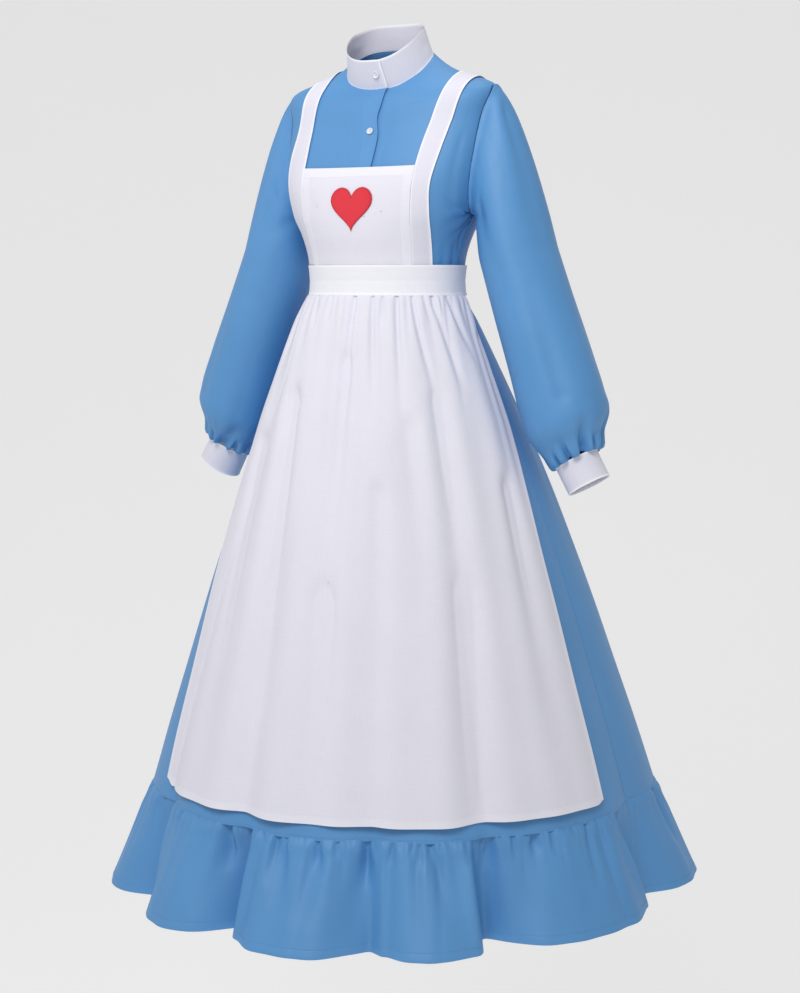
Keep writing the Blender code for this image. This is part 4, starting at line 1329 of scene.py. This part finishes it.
def apron_skirt():
    def place(x, y):
        # the hem's two corners are drawn up a little, which rounds them
        corner = np.exp(-(x / 0.014) ** 2) * 0.010 + np.exp(-((APRON_WIDE - x) / 0.010) ** 2) * 0.005
        drop = APRON_HEM - y / APRON_LONG * (APRON_HEM - WAISTBAND_FOOT) - corner * np.exp(-y / 0.05)
        share = x / APRON_WIDE
        away = APRON_LONG - y
        along = share * APRON_GATHERED
        edge = inside(x, APRON_WIDE)
        lift = gathers(along, away, 0.0180, 0.0030, 0.030, 6) + creases(x, y, APRON_CREASES)
        lift *= 0.25 + 0.75 * (1 - np.exp(-away / 0.007))
        lift += 0.0030 * eased(away / 0.012) * np.exp(-away / 0.05)
        lift = lift * eased(edge / 0.03) + DOUBLED_OUT * apron_doubled_and_highlight(x, y)
        lift -= 0.0012 * np.exp(-(away / 0.002) ** 2)
        return apron_form(share, drop, lift)

    up = stops(0, APRON_LONG, 112, (APRON_FOOT_HEM, APRON_LONG - 0.002))
    return cloth("apron_skirt_cloth", edged(APRON_WIDE, 280, APRON_SIDE_HEM), up, place, apron_cotton,
                 doubled_and_painted_light=apron_doubled_and_highlight)


apron_skirt()

# %% [markdown]
# ## The heart
# A plain red heart is stitched on the bib. It starts as the upper half of a sphere, because that
# already has a rounded rim: each point keeps its direction, and its distance is stretched to the
# heart's outline before it is laid on the bib.

# %% Heart
HEART_DROP = 0.259
HEART_WIDTH = 0.075
HEART_PUFF = 0.0012


def heart_outline(turn, scale):
    """A point of the heart, turn 0 at the top notch."""
    x = 16 * sin(turn) ** 3
    y = 13 * cos(turn) - 5 * cos(2 * turn) - 2 * cos(3 * turn) - cos(4 * turn)
    return x * scale, (y + 2.5) * scale


def on_bib(x, z, lift):
    """Points of the bib at x and z, moved out from the bodice. All are arrays."""
    def below(station):
        return torso(angle_for(x, torso_row(station)), station)[:, 2] < z

    station = halved(np.zeros_like(x), np.full_like(x, BIB_TOP), below)
    return lifted(torso, angle_for(x, torso_row(station)), station, lift)


def heart():
    dome = bmesh.new()
    flat = dome.loops.layers.uv.new("cloth")
    edge = dome.verts.layers.float.new("doubled_and_painted_light")
    bmesh.ops.create_uvsphere(dome, u_segments=72, v_segments=28, radius=1.0)
    bmesh.ops.bisect_plane(dome, geom=dome.verts[:] + dome.edges[:] + dome.faces[:], plane_co=(0, 0, 0.001),
                           plane_no=(0, 0, 1), clear_inner=True)
    outline = []
    for vertex in dome.verts:
        turn = np.arctan2(vertex.co.x, vertex.co.y)
        share = min((vertex.co.x ** 2 + vertex.co.y ** 2) ** 0.5, 1.0)
        x, y = heart_outline(turn, HEART_WIDTH / 32)
        # painted shade: the heart darkens towards its rim, under the satin stitches
        vertex[edge] = share ** 12
        outline.append((x * share, y * share, vertex.co.z))
    x, y, height = np.array(outline).T
    for face in dome.faces:
        for loop in face.loops:
            loop[flat].uv = (x[loop.vert.index], y[loop.vert.index])
    lift = BIB_LIFT + 0.0012 + HEART_PUFF * np.minimum(height * 2.2, 1.0)
    for vertex, point in zip(dome.verts, on_bib(x, y - HEART_DROP, lift)):
        vertex.co = point
    return finished("heart_applique", dome, heart_cotton)


heart()

# %% [markdown]
# ## Buttons
# Four-hole resin buttons: a dished disc with a rounded rim, sewn on with two bars of thread. They
# are the only truly round things on the dress, so here spin is right: it turns a profile of ten
# points once round its axis.

# %% Button shape
BUTTON_RADIUS = 0.0056
BUTTON_HIGH = 0.0022
# radius and height of the profile, from the middle of the face to the middle of the back
BUTTON_PROFILE = [
    (0.0, 0.45), (0.55, 0.45), (0.68, 0.62), (0.78, 0.95), (0.88, 1.0),
    (0.97, 0.85), (1.0, 0.55), (0.93, 0.15), (0.8, 0.0), (0.0, 0.0)]
HOLE_OUT = 0.0015
BAR_OUT = 0.00106
BAR_THICK = 0.0003
BAR_LONG = 0.0022


def button(name, point, normal):
    disc = bmesh.new()
    profile = [disc.verts.new((radius * BUTTON_RADIUS, 0, height * BUTTON_HIGH))
               for radius, height in BUTTON_PROFILE]
    edges = [disc.edges.new(pair) for pair in zip(profile, profile[1:])]
    bmesh.ops.spin(disc, geom=profile + edges, cent=(0, 0, 0), axis=(0, 0, 1), angle=2 * pi, steps=40,
                   use_merge=True)
    bmesh.ops.remove_doubles(disc, verts=disc.verts, dist=0.00002)
    bmesh.ops.recalc_face_normals(disc, faces=disc.faces)
    for i in range(4):
        turn = pi / 4 + i * pi / 2
        hole = Matrix.Translation((HOLE_OUT * cos(turn), HOLE_OUT * sin(turn), BUTTON_HIGH * 0.46))
        ring = bmesh.ops.create_circle(disc, cap_ends=True, segments=14, radius=0.0006, matrix=hole)["verts"]
        for face in {face for vertex in ring for face in vertex.link_faces}:
            face.material_index = 1
    for side in (-1, 1):
        bar = Matrix.Translation((0, side * BAR_OUT, BUTTON_HIGH * 0.52)) @ Matrix.Rotation(pi / 2, 4, "Y")
        ring = bmesh.ops.create_cone(disc, cap_ends=True, segments=8, radius1=BAR_THICK, radius2=BAR_THICK,
                                     depth=BAR_LONG, matrix=bar)["verts"]
        for face in {face for vertex in ring for face in vertex.link_faces}:
            face.material_index = 2
    turned = Vector(normal).to_track_quat("Z", "Y").to_matrix().to_4x4()
    bmesh.ops.transform(disc, matrix=Matrix.Translation(Vector(point)) @ turned, verts=disc.verts)
    return finished(name, disc, shell_resin, hole_shade, white_thread)


# the holes are flat grey discs on the button's face: painted shade where real holes would be dark
hole_shade = sewing_thread("button hole, shadowed resin", ("#8f8f98", "#9c9ca6"))


def at(value):
    return np.array([float(value)])


placket_station = at(6.0)
placket_angle = angle_for(at(0.0095), torso_row(placket_station))
placket_point = lifted(torso, placket_angle, placket_station, at(LAYER / 2 + 0.0012))[0]
button("placket_shirt_button", placket_point, normals(torso, placket_angle, placket_station)[0])

collar_turn = 2 * pi + angle_for(at(0.009), torso_row(at(NECKLINE)))
collar_normal = np.array((0.05, -0.97, -0.22))
button("collar_shirt_button", collar_point(collar_turn, at(0.47), at(0.0026))[0], collar_normal)
button("waistband_shirt_button", waist_point(at(pi), at(0.3698), at(BAND_LIFT + 0.0030))[0], (0, 1, 0))

# %% [markdown]
# ## Topstitching
# Every finished edge of the real dress is held by a row of machine stitches. One stitch is a
# short bar of thread, so it is made from a cone primitive with four sides and equal ends. Each
# row is a line drawn on the flat cut cloth, which is then carried to its place with the cloth.
# The real stitches are 2.5 mm long; here there are fewer, 3 mm apart, of thread 0.4 mm thick.

# %% Stitch rows
THREAD = 0.0002
STITCH = 0.0030
HEM_STITCH = 0.0040


def bars(name, starts, ends, thread):
    """Short bars of thread from each start to its end."""
    seam = bmesh.new()
    for start, end in zip(starts, ends):
        way = Vector(end - start)
        turned = way.to_track_quat("Z", "Y").to_matrix().to_4x4()
        where = Matrix.Translation(Vector((start + end) / 2)) @ turned
        bmesh.ops.create_cone(seam, cap_ends=True, segments=4, radius1=THREAD, radius2=THREAD,
                              depth=way.length, matrix=where)
    return finished(name, seam, thread)


def sew(piece, lines, thread, step=STITCH):
    """Machine stitches along lines of the cut cloth. Each line is a row of (x, y) in metres."""
    starts, ends = [], []
    for line in lines:
        x, y = np.array(line, float).T
        far = np.concatenate([[0.0], np.cumsum(np.hypot(np.diff(x), np.diff(y)))])
        middle = np.arange(step / 2, far[-1], step)
        for points, shift in ((starts, -0.36 * step), (ends, 0.36 * step)):
            points.append(PLACES[piece](np.interp(middle + shift, far, x), np.interp(middle + shift, far, y)))
    return bars(f"{piece}_stitches", np.concatenate(starts), np.concatenate(ends), thread)


def round_edge(wide, high, inset):
    """The line that runs round a rectangle of cloth, this far inside its edges."""
    right, top = wide - inset, high - inset
    return [(inset, inset), (right, inset), (right, top), (inset, top), (inset, inset)]


def lengthwise(wide, high, inset):
    """Two lines up a strip of cloth, this far from its long edges."""
    return [[(x, 0.002), (x, high - 0.002)] for x in (inset, wide - inset)]


sew("collar_band", [round_edge(COLLAR_WIDE, COLLAR_HIGH, 0.0045)], white_thread)
for side in ("left", "right"):
    sew(f"cuff_{side}_band", [[(0, y), (CUFF_WIDE, y)] for y in (0.0045, CUFF_HIGH - 0.0045)], white_thread)
    sew(f"apron_strap_{side}_cloth", lengthwise(STRAP_WIDE, STRAP_LONG, 0.0040), white_thread)
sew("apron_waistband_cloth", [round_edge(BAND_WIDE, BAND_HIGH, 0.0040)], white_thread)
sew("apron_bib_cloth", [[(0.002, BIB_HIGH - 0.0140), (BIB_WIDE - 0.002, BIB_HIGH - 0.0140)],
                        [(0.0120, 0.002), (0.0120, BIB_HIGH - 0.016)],
                        [(BIB_WIDE - 0.0120, 0.002), (BIB_WIDE - 0.0120, BIB_HIGH - 0.016)]], white_thread)
sew("apron_skirt_cloth", [[(0.007, APRON_LONG - 0.004), (0.007, 0.009), (APRON_WIDE - 0.007, 0.009),
                           (APRON_WIDE - 0.007, APRON_LONG - 0.004)]], white_thread)
sew("bodice_front_right_panel", [[(0.0050, 0.200), (0.0050, BODICE_HIGH - 0.004)]], blue_thread)
for side in ("front", "back"):
    hem_line = [(0.002, FLOUNCE_HEM - 0.001), (FLOUNCE_WIDE - 0.002, FLOUNCE_HEM - 0.001)]
    sew(f"hem_flounce_{side}_cloth", [hem_line], blue_thread, HEM_STITCH)

# %% [markdown]
# ## Satin stitches
# The heart's raw edge is covered by satin stitches, short bars side by side across the edge. Each
# is the same bar as a machine stitch, so the edge needs no method of its own.

# %% Satin stitches round the heart
SATIN_COUNT = 190
satin_turns = np.linspace(0, 2 * pi, SATIN_COUNT, endpoint=False)
inner = np.array([heart_outline(turn, HEART_WIDTH / 32 * 0.94) for turn in satin_turns])
outer = np.array([heart_outline(turn, HEART_WIDTH / 32 * 1.015) for turn in satin_turns])
inner_line = on_bib(inner[:, 0], inner[:, 1] - HEART_DROP, np.full(SATIN_COUNT, BIB_LIFT + 0.0024))
outer_line = on_bib(outer[:, 0], outer[:, 1] - HEART_DROP, np.full(SATIN_COUNT, BIB_LIFT + 0.0006))
bars("heart_satin_stitches", inner_line, outer_line, red_thread)

# %% [markdown]
# ## Which CAD node each piece stands for
# The CAD solids stay in the physics. In the picture each one is replaced by its finer shell. One
# table pairs each sheet with its node and lists the flat size that it was cut to, so that a wrong
# pairing is easy to see; only the node is read here, to hide the CAD part.

# %% Replace the nodes
SHEETS = {
    "bodice_front_left_panel": ("bodice_front_left", "blue_poplin", (0.262, 0.390), "stretched", 0.080),
    "bodice_front_right_panel": ("bodice_front_right", "blue_poplin", (0.262, 0.390), "stretched", 0.080),
    "bodice_back_panel": ("bodice_back", "blue_poplin", (0.430, 0.400), "stretched", 0.125),
    "sleeve_left_cloth": ("sleeve_left", "blue_poplin", (0.470, 0.600), "hung", 0.235),
    "sleeve_right_cloth": ("sleeve_right", "blue_poplin", (0.470, 0.600), "hung", 0.235),
    "cuff_left_band": ("cuff_left", "white_band_cloth", (0.228, 0.047), "stretched", None),
    "cuff_right_band": ("cuff_right", "white_band_cloth", (0.228, 0.047), "stretched", None),
    "collar_band": ("collar", "white_band_cloth", (0.440, 0.060), "stretched", None),
    "skirt_front_panel": ("skirt_front", "blue_poplin", (1.320, 0.900), "hung", 0.760),
    "skirt_back_panel": ("skirt_back", "blue_poplin", (1.320, 0.900), "hung", 0.760),
    "hem_flounce_front_cloth": ("hem_flounce_front", "blue_poplin", (1.860, 0.172), "gathered", None),
    "hem_flounce_back_cloth": ("hem_flounce_back", "blue_poplin", (1.860, 0.172), "gathered", None),
    "apron_waistband_cloth": ("apron_waistband", "white_apron_cloth", (0.800, 0.0465), "stretched", None),
    "apron_bib_cloth": ("apron_bib", "white_apron_cloth", (0.200, 0.165), "stretched", None),
    "apron_strap_left_cloth": ("apron_strap_left", "white_apron_cloth", (0.031, 0.745), "stretched", None),
    "apron_strap_right_cloth": ("apron_strap_right", "white_apron_cloth", (0.042, 0.770), "stretched", None),
    "apron_skirt_cloth": ("apron_skirt", "white_apron_cloth", (0.880, 0.815), "gathered", None),
    "heart_applique": ("bib_heart", "red_applique", (0.075, 0.068), "laid", 0.0035),
}
for name, (node, slot, flat, held, area) in SHEETS.items():
    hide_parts(node)
for name in ("placket", "collar", "waistband"):
    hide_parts(f"{name}_button")
print("sheets", len(SHEETS), "and buttons 3")
